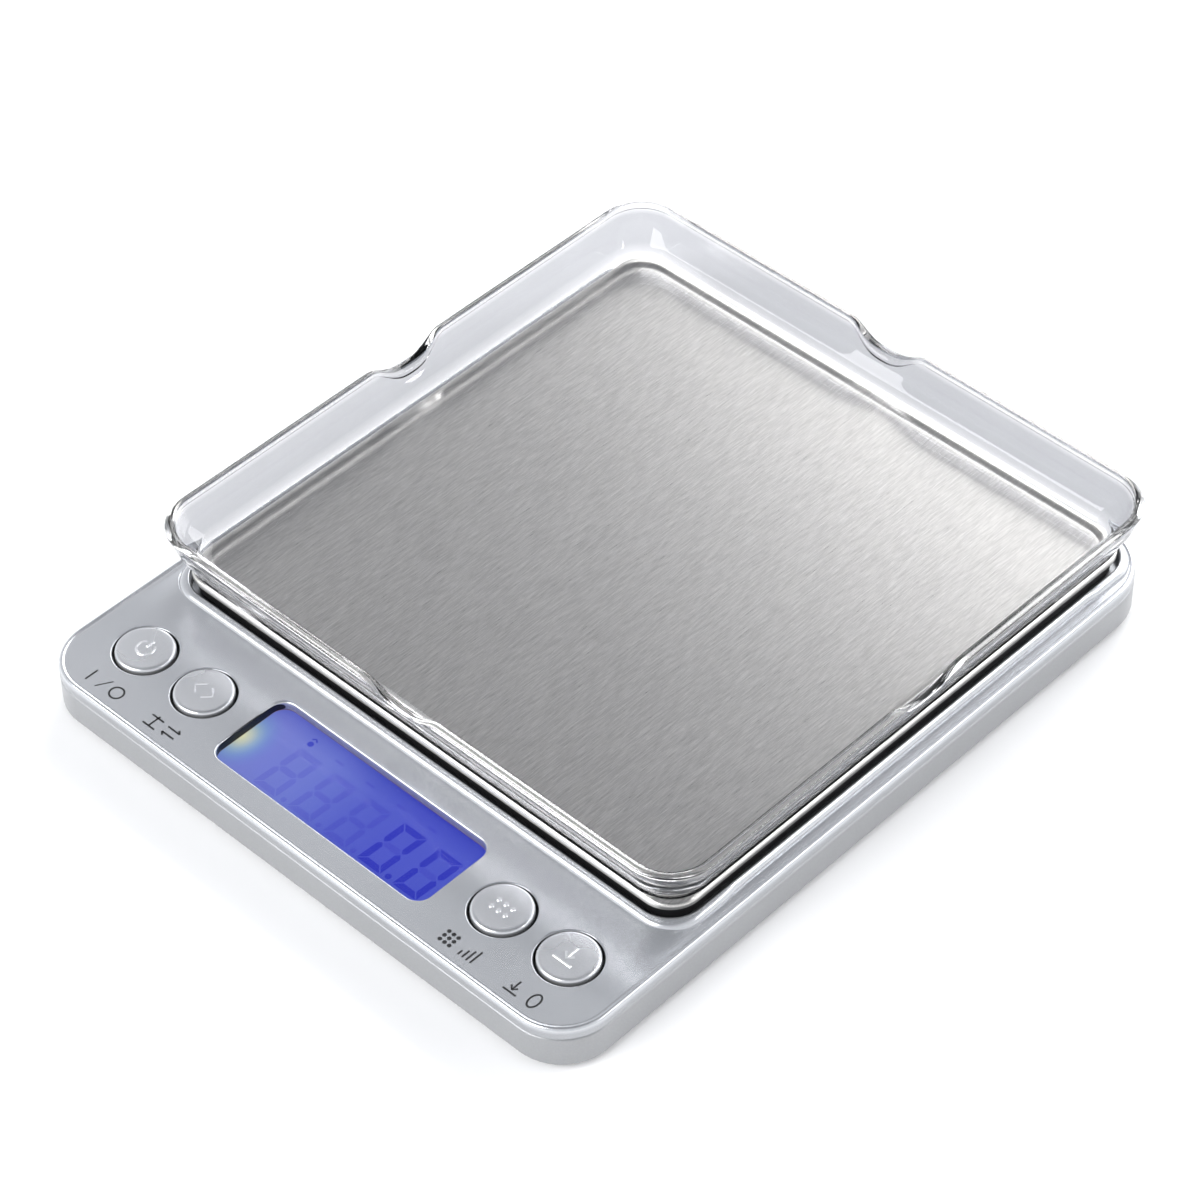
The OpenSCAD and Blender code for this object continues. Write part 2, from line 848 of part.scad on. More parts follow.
// Two arrowheads, one left and one right
module button_mode() {
    button(-inner_button_x)
        both_sides() polygon([[arrow_x[0], arrow_half], [arrow_x[1], 0], [arrow_x[0], -arrow_half]]);
}

// Three rows of two dots
module button_count() {
    button(inner_button_x)
        for (x = [-1, 0, 1], y = [-1, 1])
            translate([x * dot_pitch[0], y * dot_pitch[1]]) circle(r = dot_r, $fn = fine_fn);
}

// Level bar with an arrow that comes down onto it
module button_tare() {
    button(outer_button_x) {
        translate([-tare_bar[0] / 2, tare_bar[1]]) square([tare_bar[0], symbol_t]);
        translate([-symbol_t / 2, 0]) square([symbol_t, tare_stem]);
        polygon([[-tare_head[0], tare_head[1]], [tare_head[0], tare_head[1]], [0, tare_head[2]]]);
    }
}

// ---------- assembly ----------

lower_case();
upper_case();
display_window();
window_adhesive();
lcd_panel();
lcd_frame();
backlight_panel();
backlight_led();
lcd_connector();
main_board();
controller_chip();
board_components();
tact_switches();
board_screws();
load_cell();
gauge_potting();
gauge_wires();
load_cell_base_screws();
battery_wires();
coin_cell_left();
coin_cell_right();
battery_link_strip();
battery_side_contacts();
case_screws();
rubber_feet();
overload_stops();
blank_label();
platform_support();
platform_plate();
plate_tapes();
load_cell_spacer();
platform_screws();
tray();
button_power();
button_mode();
button_count();
button_tare();
battery_door();
battery_door_foam();
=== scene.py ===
"""Digital gram scale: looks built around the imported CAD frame.

Shapes are worked out in millimetres and turned into metres when a mesh is made. The front faces -y, and the
ground is z = 0.
"""
import math

import bmesh
import bpy
from mathutils import Matrix, Vector


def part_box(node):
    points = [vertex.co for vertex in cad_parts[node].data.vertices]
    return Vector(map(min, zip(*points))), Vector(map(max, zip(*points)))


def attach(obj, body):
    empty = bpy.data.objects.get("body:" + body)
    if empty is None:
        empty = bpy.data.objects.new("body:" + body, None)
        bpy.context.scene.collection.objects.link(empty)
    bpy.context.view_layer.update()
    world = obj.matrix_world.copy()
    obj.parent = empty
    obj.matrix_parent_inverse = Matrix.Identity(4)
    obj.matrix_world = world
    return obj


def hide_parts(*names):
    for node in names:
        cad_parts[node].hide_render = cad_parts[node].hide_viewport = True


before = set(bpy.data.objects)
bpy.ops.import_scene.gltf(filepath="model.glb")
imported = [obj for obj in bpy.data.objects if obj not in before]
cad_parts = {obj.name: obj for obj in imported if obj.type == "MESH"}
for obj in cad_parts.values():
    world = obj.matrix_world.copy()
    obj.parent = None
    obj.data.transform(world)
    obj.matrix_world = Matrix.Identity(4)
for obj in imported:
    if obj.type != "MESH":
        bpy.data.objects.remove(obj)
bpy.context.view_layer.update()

MM = 0.001


def mm_box(node):
    """Lowest and highest corner of a CAD node, in millimetres."""
    low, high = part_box(node)
    return low / MM, high / MM


# ---------- places read from the frame ----------

CASE_LOW, CASE_HIGH = mm_box("upper_case")
PLATE_LOW, PLATE_HIGH = mm_box("platform_plate")
TRAY_LOW, TRAY_HIGH = mm_box("tray")
LCD_LOW, LCD_HIGH = mm_box("lcd_panel")
DOOR_LOW, DOOR_HIGH = mm_box("battery_door")
LABEL_LOW, LABEL_HIGH = mm_box("blank_label")
BUTTONS = {name: (sum(c[0] for c in mm_box(name)) / 2, sum(c[1] for c in mm_box(name)) / 2)
           for name in ("button_power", "button_mode", "button_count", "button_tare")}


# ---------- case, in millimetres ----------

HALF_W = CASE_HIGH.x
HALF_D = CASE_HIGH.y
FRONT_R = 8.5  # radius of the front corners, seen from above
REAR_R = 10.0
SEAM_Z = 6.2  # top of the lower case's wall
SEAM_GAP = 0.1
CEILING_Z = 6.8  # underside of the panel
PANEL_Z = 8.2
RIM_Z = CASE_HIGH.z  # top of the rim round the plate
WELL_Y = (PLATE_LOW.y + PLATE_HIGH.y) / 2
RIM_HALF = 51.2
RIM_R = 6.2
WELL_HALF = 49.8
WELL_R = 5.5
WELL_Z = 7.4
WELL_UNDER_R = 7.7
LIP_Z = SEAM_Z + 0.8  # top of the lip inside the seam
COVE_RISE = 0.5  # how far the panel curves up to the rim
BASE_Z = 0.7  # underside of the case
FLOOR_Z = 1.9  # upper side of the lower case's floor

# ---------- controls and display ----------

CONTROL_Y = BUTTONS["button_power"][1]
BUTTON_TOP = mm_box("button_power")[1].z
COVE_START = CONTROL_Y + 1.4
HOLE_R = 4.85
CAP_R = 4.5
FLANGE_R = 5.15
ICON_RISE = 0.12
WINDOW_HALF = (20.95, 7.2)
WINDOW_R = 2.3
DIGIT_Y = -52.6
DIGIT_PITCH = 7.0
LAST_DIGIT_X = 16.62
DIGIT_HALF = (2.3, 4.5)
DIGIT_SLANT = 0.04
SEGMENT_W = 1.05
SEGMENT_GAP = 0.07
GLOW_AT = (-21.3, -52.2)
GLOW_SQUEEZE = 0.8  # under 1, the glow is longer from front to back
MARKS_Y = -59.9

# ---------- inside and underneath ----------

CASE_SCREWS = ((47.2, -57.8), (46.2, 56.4))
BOARD_SCREWS = ((36.15, 7.4), (36.15, -7.4))
FEET = ((43.5, -52), (42.5, 47))
STOP_OFFSET = 38
LABEL_GAP = 0.2
DOOR_GAP = 0.2
DOOR_RAIL = 0.9
BAY_HALF, BAY_BACK, BAY_TOP = 26.4, 59.2, 5.5
CELL_X, CELL_Y, CELL_POCKET_R = 11.5, 46.5, 10.15

# ---------- plate and tray ----------

PLATE_R = 5.1
PLATE_SHEET = 0.5
PLATE_EDGE_R = 0.45
TRAY_LIFT = 0.06  # air between the steel plate and the tray's underside
TRAY_WALL = 1.45
TRAY_SPREAD = 2.5  # how far the rim stands out past the floor
TRAY_OUTER_BEND, TRAY_INNER_BEND = 2.0, 2.2
TRAY_LIP = 0.45  # height of the rounded lip
NOTCH_WIDTH = 15.0
# The scoop of a notch is deeper on the inside.
NOTCH_OUTER, NOTCH_INNER = 1.9, 3.1


# Points of a ring: along its front or back, along a side, and round a corner
ALONG, SIDE, TURN = 24, 40, 12


# ---------- mesh helpers ----------

def new_object(name, verts, faces, body, replaces=(), smooth_angle=35, weighted=True):
    """Mesh object from millimetre points, closed and smooth-shaded, riding on a CAD body."""
    mesh = bpy.data.meshes.new(name)
    mesh.from_pydata([tuple(c * MM for c in v) for v in verts], [], faces)
    tidy_mesh(mesh)
    obj = bpy.data.objects.new(name, mesh)
    bpy.context.scene.collection.objects.link(obj)
    if body:
        finish_piece(obj, body, replaces, smooth_angle, weighted)
    return obj


def tidy_mesh(mesh):
    """Merges double points and turns every face outwards."""
    bm = bmesh.new()
    bm.from_mesh(mesh)
    bmesh.ops.remove_doubles(bm, verts=bm.verts, dist=1e-7)
    bmesh.ops.recalc_face_normals(bm, faces=bm.faces)
    bm.to_mesh(mesh)
    bm.free()


def apply_modifiers(obj):
    """Replaces the mesh by what the modifiers make of it."""
    graph = bpy.context.evaluated_depsgraph_get()
    graph.update()
    mesh = bpy.data.meshes.new_from_object(obj.evaluated_get(graph))
    obj.modifiers.clear()
    obj.data = mesh


def shade(obj, smooth_angle=35, weighted=True):
    """Smooth shading that breaks at hard edges and keeps flat faces flat."""
    obj.data.shade_smooth()
    obj.data.set_sharp_from_angle(angle=math.radians(smooth_angle))
    if weighted:
        mod = obj.modifiers.new("normals", "WEIGHTED_NORMAL")
        mod.keep_sharp = True
        mod.weight = 50
        apply_modifiers(obj)


def finish_piece(obj, body, replaces=(), smooth_angle=35, weighted=True):
    """Shades a piece, hangs it on its body and hides the frame parts that it replaces."""
    shade(obj, smooth_angle, weighted)
    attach(obj, body)
    if replaces:
        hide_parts(*replaces)
    return obj


def cut(obj, cutter, operation="DIFFERENCE"):
    """One exact boolean, applied. The cutter is removed."""
    mod = obj.modifiers.new("cut", "BOOLEAN")
    mod.operation = operation
    mod.solver = "EXACT"
    mod.object = cutter
    apply_modifiers(obj)
    bpy.data.objects.remove(cutter)
    return obj


class Shape:
    """Collects closed parts that go into one mesh."""

    def __init__(self):
        self.verts = []
        self.faces = []

    def add(self, verts, faces):
        base = len(self.verts)
        self.verts += verts
        self.faces += [tuple(base + i for i in f) for f in faces]
        return self

    def loft(self, rings):
        """Closed skin over rings that have the same number of points."""
        n = len(rings[0])
        verts = [p for ring in rings for p in ring]
        faces = []
        for k in range(len(rings) - 1):
            for i in range(n):
                j = (i + 1) % n
                faces.append((k * n + i, k * n + j, (k + 1) * n + j, (k + 1) * n + i))
        faces.append(tuple(reversed(range(n))))
        faces.append(tuple((len(rings) - 1) * n + i for i in range(n)))
        return self.add(verts, faces)

    def lathe(self, profile, centre, segments=64):
        """Turned form. The profile is a list of (radius, z), from one end of the axis to the other."""
        cx, cy = centre
        rings = []
        for r, z in profile:
            rings.append([(cx + r * math.cos(2 * math.pi * i / segments),
                           cy + r * math.sin(2 * math.pi * i / segments), z) for i in range(segments)])
        return self.loft(rings)

    def prism(self, outline, z0, z1):
        """Upright prism over a flat outline of (x, y) points."""
        return self.loft([[(x, y, z0) for x, y in outline], [(x, y, z1) for x, y in outline]])

    def box(self, low, high):
        xs, ys = (low[0], high[0]), (low[1], high[1])
        return self.prism([(xs[0], ys[0]), (xs[1], ys[0]), (xs[1], ys[1]), (xs[0], ys[1])], low[2], high[2])

    def make(self, name, body=None, slot=None, replaces=(), smooth_angle=35, weighted=True):
        return new_object(name, self.verts, self.faces, body, replaces, smooth_angle, weighted)


def spread(a, b, count):
    """count steps from a to b, without b."""
    return [a + (b - a) * i / count for i in range(count)]


def arc(cx, cy, r, start, end, count):
    """count points on an arc, without its last point; angles in degrees."""
    return [(cx + r * math.cos(math.radians(t)), cy + r * math.sin(math.radians(t)))
            for t in spread(start, end, count)]


def outline(half_x, y0, y1, r_front, r_rear, along=ALONG, side=SIDE, turn=TURN):
    """Anticlockwise rectangle with round corners, always with the same number of points."""
    r_front = max(r_front, 0.05)
    r_rear = max(r_rear, 0.05)
    fx, rx = half_x - r_front, half_x - r_rear
    fy, ry = y0 + r_front, y1 - r_rear
    points = [(x, y0) for x in spread(-fx, fx, along)]
    points += arc(fx, fy, r_front, -90, 0, turn)
    points += [(half_x, y) for y in spread(fy, ry, side)]
    points += arc(rx, ry, r_rear, 0, 90, turn)
    points += [(x, y1) for x in spread(rx, -rx, along)]
    points += arc(-rx, ry, r_rear, 90, 180, turn)
    points += [(-half_x, y) for y in spread(ry, fy, side)]
    points += arc(-fx, fy, r_front, 180, 270, turn)
    return points


def flat(points, z):
    return [(x, y, z) for x, y in points]


def case_ring(inset, z):
    """Ring that lies inset from the case's outline."""
    return flat(outline(HALF_W - inset, -HALF_D + inset, HALF_D - inset, FRONT_R - inset, REAR_R - inset), z)


def square_ring(half, r, z, **counts):
    """Ring around the platform's centre."""
    return flat(outline(half, WELL_Y - half, WELL_Y + half, r, r, **counts), z)


# ---------- material helpers ----------

def new_material(name):
    mat = bpy.data.materials.new(name)
    mat.use_nodes = True
    nodes = mat.node_tree.nodes
    return mat, nodes, mat.node_tree.links, nodes["Principled BSDF"]


def put(nodes, kind, **values):
    node = nodes.new(kind)
    for key, value in values.items():
        setattr(node, key, value)
    return node


def object_coords(nodes, links, scale=(1, 1, 1)):
    coords = put(nodes, "ShaderNodeTexCoord")
    mapping = put(nodes, "ShaderNodeMapping")
    mapping.inputs["Scale"].default_value = scale
    links.new(coords.outputs["Object"], mapping.inputs["Vector"])
    return mapping.outputs["Vector"]


def noise(nodes, links, vector, scale, detail=3.0, rough=0.5):
    tex = put(nodes, "ShaderNodeTexNoise")
    tex.inputs["Scale"].default_value = scale
    tex.inputs["Detail"].default_value = detail
    tex.inputs["Roughness"].default_value = rough
    links.new(vector, tex.inputs["Vector"])
    return tex.outputs["Fac"]


def ramp(nodes, links, fac, stops):
    node = put(nodes, "ShaderNodeValToRGB")
    elements = node.color_ramp.elements
    while len(elements) < len(stops):
        elements.new(0.5)
    for element, (pos, color) in zip(elements, stops):
        element.position = pos
        element.color = (*color, 1.0)
    links.new(fac, node.inputs["Fac"])
    return node.outputs["Color"]


def bump(nodes, links, height, bsdf, strength, distance):
    node = put(nodes, "ShaderNodeBump")
    node.inputs["Strength"].default_value = strength
    node.inputs["Distance"].default_value = distance
    links.new(height, node.inputs["Height"])
    links.new(node.outputs["Normal"], bsdf.inputs["Normal"])


def mix_colors(nodes, links, share, first, second):
    """Colour between two sockets or plain colours; share is 0 for the first and 1 for the second."""
    node = put(nodes, "ShaderNodeMix", data_type="RGBA")
    links.new(share, node.inputs[0])
    feed(links, first, node.inputs[6])
    feed(links, second, node.inputs[7])
    return node.outputs[2]


def over_range(nodes, links, value, low, high):
    """0 to 1 while a value in metres goes from low to high, which are in millimetres."""
    node = put(nodes, "ShaderNodeMapRange")
    node.inputs["From Min"].default_value = low * MM
    node.inputs["From Max"].default_value = high * MM
    links.new(value, node.inputs["Value"])
    return node.outputs["Result"]


def object_axes(nodes, links):
    """The object's own coordinates, and the same one axis at a time."""
    coords = put(nodes, "ShaderNodeTexCoord")
    split = put(nodes, "ShaderNodeSeparateXYZ")
    links.new(coords.outputs["Object"], split.inputs["Vector"])
    return coords.outputs["Object"], split.outputs


def roughness(nodes, links, value, bsdf, low, high):
    """Roughness from low to high as a value goes from 0 to 1."""
    node = put(nodes, "ShaderNodeMapRange")
    node.inputs["To Min"].default_value = low
    node.inputs["To Max"].default_value = high
    links.new(value, node.inputs["Value"])
    links.new(node.outputs["Result"], bsdf.inputs["Roughness"])


def feed(links, value, socket):
    """Links a socket, or sets a plain colour."""
    if isinstance(value, tuple):
        socket.default_value = (*value, 1)
    else:
        links.new(value, socket)


def over_height(nodes, links, z0, z1, below, above):
    """Colour that changes from one to another as the object's height goes from z0 to z1."""
    _, axes = object_axes(nodes, links)
    height = over_range(nodes, links, axes["Z"], z0, z1)
    return mix_colors(nodes, links, height, below, above)


def in_openings(nodes, links, inside, outside):
    """One colour inside the button holes and at the display opening's left wall, used there as painted shade, and
    another everywhere else.

    Each place is an ellipsoid, as (centre, half sizes), and the distance to its middle is measured in its own size.
    """
    coords = put(nodes, "ShaderNodeTexCoord")
    around, tall = HOLE_R + 0.05, 1000
    rounds = [((x, y, 0), (around, around, tall)) for x, y in BUTTONS.values()]
    rounds.append(((-WINDOW_HALF[0], CONTROL_Y, CEILING_Z + 0.5), (1.3, 8.6, 0.88)))
    nearest = None
    for centre, half in rounds:
        level = put(nodes, "ShaderNodeMapping")
        level.inputs["Scale"].default_value = [1 / h for h in half]
        links.new(coords.outputs["Object"], level.inputs["Vector"])
        reach = put(nodes, "ShaderNodeVectorMath", operation="DISTANCE")
        reach.inputs[1].default_value = [c / h * MM for c, h in zip(centre, half)]
        links.new(level.outputs["Vector"], reach.inputs[0])
        if nearest is None:
            nearest = reach.outputs["Value"]
            continue
        least = put(nodes, "ShaderNodeMath", operation="MINIMUM")
        links.new(nearest, least.inputs[0])
        links.new(reach.outputs["Value"], least.inputs[1])
        nearest = least.outputs["Value"]
    rim = over_range(nodes, links, nearest, 0.99, 1.01)
    return mix_colors(nodes, links, rim, inside, outside)


def shades(color, contrast):
    """Darker and lighter version of a colour."""
    return [c * (1 - contrast) for c in color], [min(1.0, c * (1 + contrast)) for c in color]


def grained(name, color, rough, grain, scale, metallic=0.0, height=0.000008, strength=0.25,
            rough_spread=0.05, coat=0.0, stretch=(1, 1, 1), gap_shade_below=None, highlight_above=None,
            shade_openings=False, sides_shaded_below=None):
    """Moulded or painted surface: fine grain in colour, roughness and relief, and broad unevenness.

    Under the height gap_shade_below, and in the openings, the colour turns dark as painted shade of the gaps and holes.
    Under the height sides_shaded_below it is darkened as painted shade on the side walls. Over the height
    highlight_above it is lightened as a painted highlight on a raised sign.
    """
    mat, nodes, links, bsdf = new_material(name)
    vector = object_coords(nodes, links, stretch)
    fine = noise(nodes, links, vector, scale, 2.0, 0.6)
    broad = noise(nodes, links, vector, 60.0, 2.0, 0.5)
    mix = put(nodes, "ShaderNodeMix", data_type="FLOAT")
    mix.inputs[0].default_value = 0.35
    links.new(fine, mix.inputs[2])
    links.new(broad, mix.inputs[3])
    dark, light = shades(color, grain)
    tint = ramp(nodes, links, mix.outputs[0], [(0.3, dark), (0.7, light)])
    # Painted shade: a darker copy of the colour for the side walls under a height.
    if sides_shaded_below is not None:
        side_dark = ramp(nodes, links, mix.outputs[0], [(0.3, [SIDE_SHADE_SHARE * c for c in dark]),
                                                   (0.7, [SIDE_SHADE_SHARE * c for c in light])])
        tint = over_height(nodes, links, sides_shaded_below - 0.3, sides_shaded_below + 0.3, side_dark, tint)
    # Painted shade: dark under a height, for the gap round a button's cap.
    if gap_shade_below is not None:
        tint = over_height(nodes, links, gap_shade_below - 0.2, gap_shade_below + 0.2, GAP_SHADE, tint)
    # Painted highlight: light over a height, on the top of a raised sign.
    if highlight_above is not None:
        tint = over_height(nodes, links, highlight_above - 0.02, highlight_above + 0.02, tint, ICON_HIGHLIGHT)
    # Painted shade in the button holes and on the display opening's left wall.
    if shade_openings:
        tint = in_openings(nodes, links, GAP_SHADE, tint)
    links.new(tint, bsdf.inputs["Base Color"])
    roughness(nodes, links, broad, bsdf, rough - rough_spread, rough + rough_spread)
    bsdf.inputs["Metallic"].default_value = metallic
    bsdf.inputs["Coat Weight"].default_value = coat
    bsdf.inputs["Coat Roughness"].default_value = 0.12
    bump(nodes, links, fine, bsdf, strength, height)
    return mat


def brushed(name, color, rough, fineness, contrast, shaded_below):
    """Metal with a straight grain; fineness is the grain's scale along each axis.

    Under the height shaded_below its colour is painted dark, as shade of the gap under the tray.
    """
    mat, nodes, links, bsdf = new_material(name)
    vector = object_coords(nodes, links, fineness)
    lines = noise(nodes, links, vector, 1.0, 3.0, 0.75)
    dark, light = shades(color, contrast)
    tint = ramp(nodes, links, lines, [(0.3, dark), (0.7, light)])
    tint = over_height(nodes, links, shaded_below - 0.1, shaded_below + 0.1, SHADED, tint)
    links.new(tint, bsdf.inputs["Base Color"])
    roughness(nodes, links, lines, bsdf, rough - 0.06, rough + 0.06)
    bsdf.inputs["Metallic"].default_value = 1.0
    bsdf.inputs["Anisotropic"].default_value = 0.6
    tangent = put(nodes, "ShaderNodeTangent", direction_type="UV_MAP", uv_map="grain")
    links.new(tangent.outputs["Tangent"], bsdf.inputs["Tangent"])
    bump(nodes, links, lines, bsdf, 0.2, 0.000004)
    return mat


def clear(name, color, rough, ior, ripple=0.0, wall_color=None, wall_z=None, specular=0.5):
    """Clear plastic with very slight flow ripples, and a deeper tint in the walls, between two heights."""
    mat, nodes, links, bsdf = new_material(name)
    bsdf.inputs["Base Color"].default_value = (*color, 1.0)
    if wall_color is not None:
        _, axes = object_axes(nodes, links)
        height = over_range(nodes, links, axes["Z"], *wall_z)
        stops = [(0, color), (0.2, wall_color), (0.85, wall_color), (0.95, color)]
        links.new(ramp(nodes, links, height, stops), bsdf.inputs["Base Color"])
    bsdf.inputs["Roughness"].default_value = rough
    bsdf.inputs["IOR"].default_value = ior
    bsdf.inputs["Specular IOR Level"].default_value = specular
    bsdf.inputs["Transmission Weight"].default_value = 1.0
    if ripple:
        vector = object_coords(nodes, links)
        bump(nodes, links, noise(nodes, links, vector, 40.0, 0.0), bsdf, ripple, 0.00004)
    return mat


def grain_uv(obj):
    """UV map whose U runs across the grain, the way highlights stretch."""
    layer = obj.data.uv_layers.new(name="grain")
    for loop in obj.data.loops:
        co = obj.data.vertices[loop.vertex_index].co
        layer.data[loop.index].uv = (co.x * 10, co.y * 10)


def paint(obj, mat):
    obj.data.materials.clear()
    obj.data.materials.append(mat)


# Colours painted into some places of a surface: painted shade in gaps, holes, on side walls and on the plate's skirt,
# and a painted highlight on raised signs
GAP_SHADE = (0.04, 0.04, 0.042)
ICON_HIGHLIGHT = (0.84, 0.845, 0.86)
SHADED = (0.3, 0.295, 0.285)
SIDE_SHADE_SHARE = 0.72

# Silver with painted shade: dark in the button holes and at the display opening's left wall, darker on the side walls
# under 7.7 mm.
SILVER = grained("silver_lacquer", (0.585, 0.598, 0.622), 0.25, 0.06, 4200, 0.75, 0.000006, 0.22, 0.03, 0.0,
                 shade_openings=True, sides_shaded_below=7.7)
BASE = grained("base_plastic", (0.325, 0.33, 0.34), 0.34, 0.06, 3600, 0.4, 0.000008, 0.3, 0.04, 0.15)
# Button silver with painted shade, dark under 7.3 mm round the cap, and a painted highlight on the top of the sign.
BUTTON = grained("button_lacquer", (0.67, 0.68, 0.70), 0.27, 0.05, 4200, 0.75, 0.000006, 0.2, 0.03, 0.0,
                 gap_shade_below=7.3, highlight_above=BUTTON_TOP - 0.05)
# Steel painted dark under the top sheet, as shade of the gap under the tray.
STEEL = brushed("brushed_steel", (0.60, 0.588, 0.565), 0.30, (5600.0, 330.0, 5600.0), 0.24,
                PLATE_HIGH.z - PLATE_SHEET)
BLACK = grained("black_plastic", (0.012, 0.012, 0.013), 0.45, 0.2, 3000)
CLEAR = clear("clear_plastic", (0.985, 0.985, 0.99), 0.02, 1.42, 0.02, (0.53, 0.535, 0.56), (12.4, 20.3))
LENS = clear("lens_clear", (0.97, 0.975, 1.0), 0.02, 1.1, specular=0.3)
RUBBER = grained("foot_rubber", (0.05, 0.05, 0.052), 0.75, 0.15, 2600, 0.0, 0.00002, 0.5)
PRINT = grained("black_print", (0.012, 0.012, 0.014), 0.5, 0.2, 6000)
PAPER = grained("label_paper", (0.80, 0.80, 0.78), 0.7, 0.02, 2200, 0.0, 0.000006, 0.3)
BOARD = grained("solder_mask", (0.02, 0.16, 0.06), 0.35, 0.1, 1500, 0.0, 0.000006, 0.3, 0.05, 0.3)
CHIP = grained("chip_epoxy", (0.02, 0.02, 0.022), 0.5, 0.15, 3000)
CERAMIC = grained("component_ceramic", (0.36, 0.27, 0.17), 0.45, 0.15, 2500)
ZINC = grained("zinc_steel", (0.55, 0.55, 0.56), 0.32, 0.08, 2200, 1.0, 0.000006, 0.3)
NICKEL = grained("nickel", (0.66, 0.63, 0.56), 0.22, 0.05, 2200, 1.0, 0.000004, 0.2)
MILLED = grained("milled_aluminium", (0.72, 0.73, 0.74), 0.34, 0.08, 900, 1.0, 0.000008, 0.4, stretch=(0.2, 3, 3))
WHITE = grained("white_plastic", (0.78, 0.78, 0.76), 0.5, 0.02, 3000)
SILICONE = grained("silicone", (0.76, 0.76, 0.73), 0.55, 0.03, 900, 0.0, 0.00003, 0.5)
GUIDE = grained("light_guide", (0.85, 0.88, 0.95), 0.3, 0.02, 1800)
LED = grained("led_phosphor", (0.95, 0.85, 0.35), 0.4, 0.06, 2500)
ELASTOMER = grained("elastomer", (0.42, 0.20, 0.18), 0.6, 0.25, 2600, stretch=(1, 0.1, 0.1))
BROWN = grained("adhesive_film", (0.16, 0.075, 0.035), 0.45, 0.2, 2600)
WIRE_RED = grained("red_insulation", (0.42, 0.02, 0.015), 0.4, 0.06, 1500)
WIRE_BLACK = grained("black_insulation", (0.02, 0.02, 0.02), 0.4, 0.1, 1500)
FOAM = grained("foam", (0.04, 0.04, 0.042), 0.9, 0.35, 2200, 0.0, 0.00008, 0.9)
TAPE = grained("foam_tape", (0.74, 0.74, 0.70), 0.8, 0.05, 2200, 0.0, 0.00003, 0.6)


# ---------- upper case ----------

def cove_weight(index):
    """1 along the front of a ring, fading to 0 over the far part of the front corners."""
    total = 2 * ALONG + 2 * SIDE + 4 * TURN
    if index <= ALONG:
        return 1.0
    if index <= ALONG + TURN:
        t = (index - ALONG) / TURN
    elif index >= total - TURN:
        t = (total - index) / TURN
    else:
        return 0.0
    return 0.5 + 0.5 * math.cos(math.pi * max(0, (t - 0.3) / 0.7))


def raised(ring, rise):
    """Lifts a ring along the front by rise, fading out round the corners."""
    return [(x, y, z + rise * cove_weight(i)) for i, (x, y, z) in enumerate(ring)]


def jogged(ring, shift):
    """Steps the sides of a rim ring inwards between the two jogs."""
    front, back, soft, reach = -27.5, 49.5, 0.45, 1.8
    out = []
    for x, y, z in ring:
        if abs(x) > RIM_HALF - reach:
            a = min(1, max(0, (y - front) / soft + 0.5))
            b = min(1, max(0, (back - y) / soft + 0.5))
            x -= math.copysign(shift * min(a, b), x)
        out.append((x, y, z))
    return out


def between(ring_a, ring_b, t, z):
    """Ring part of the way from one outline to another."""
    return [(a[0] + (b[0] - a[0]) * t, a[1] + (b[1] - a[1]) * t, z) for a, b in zip(ring_a, ring_b)]


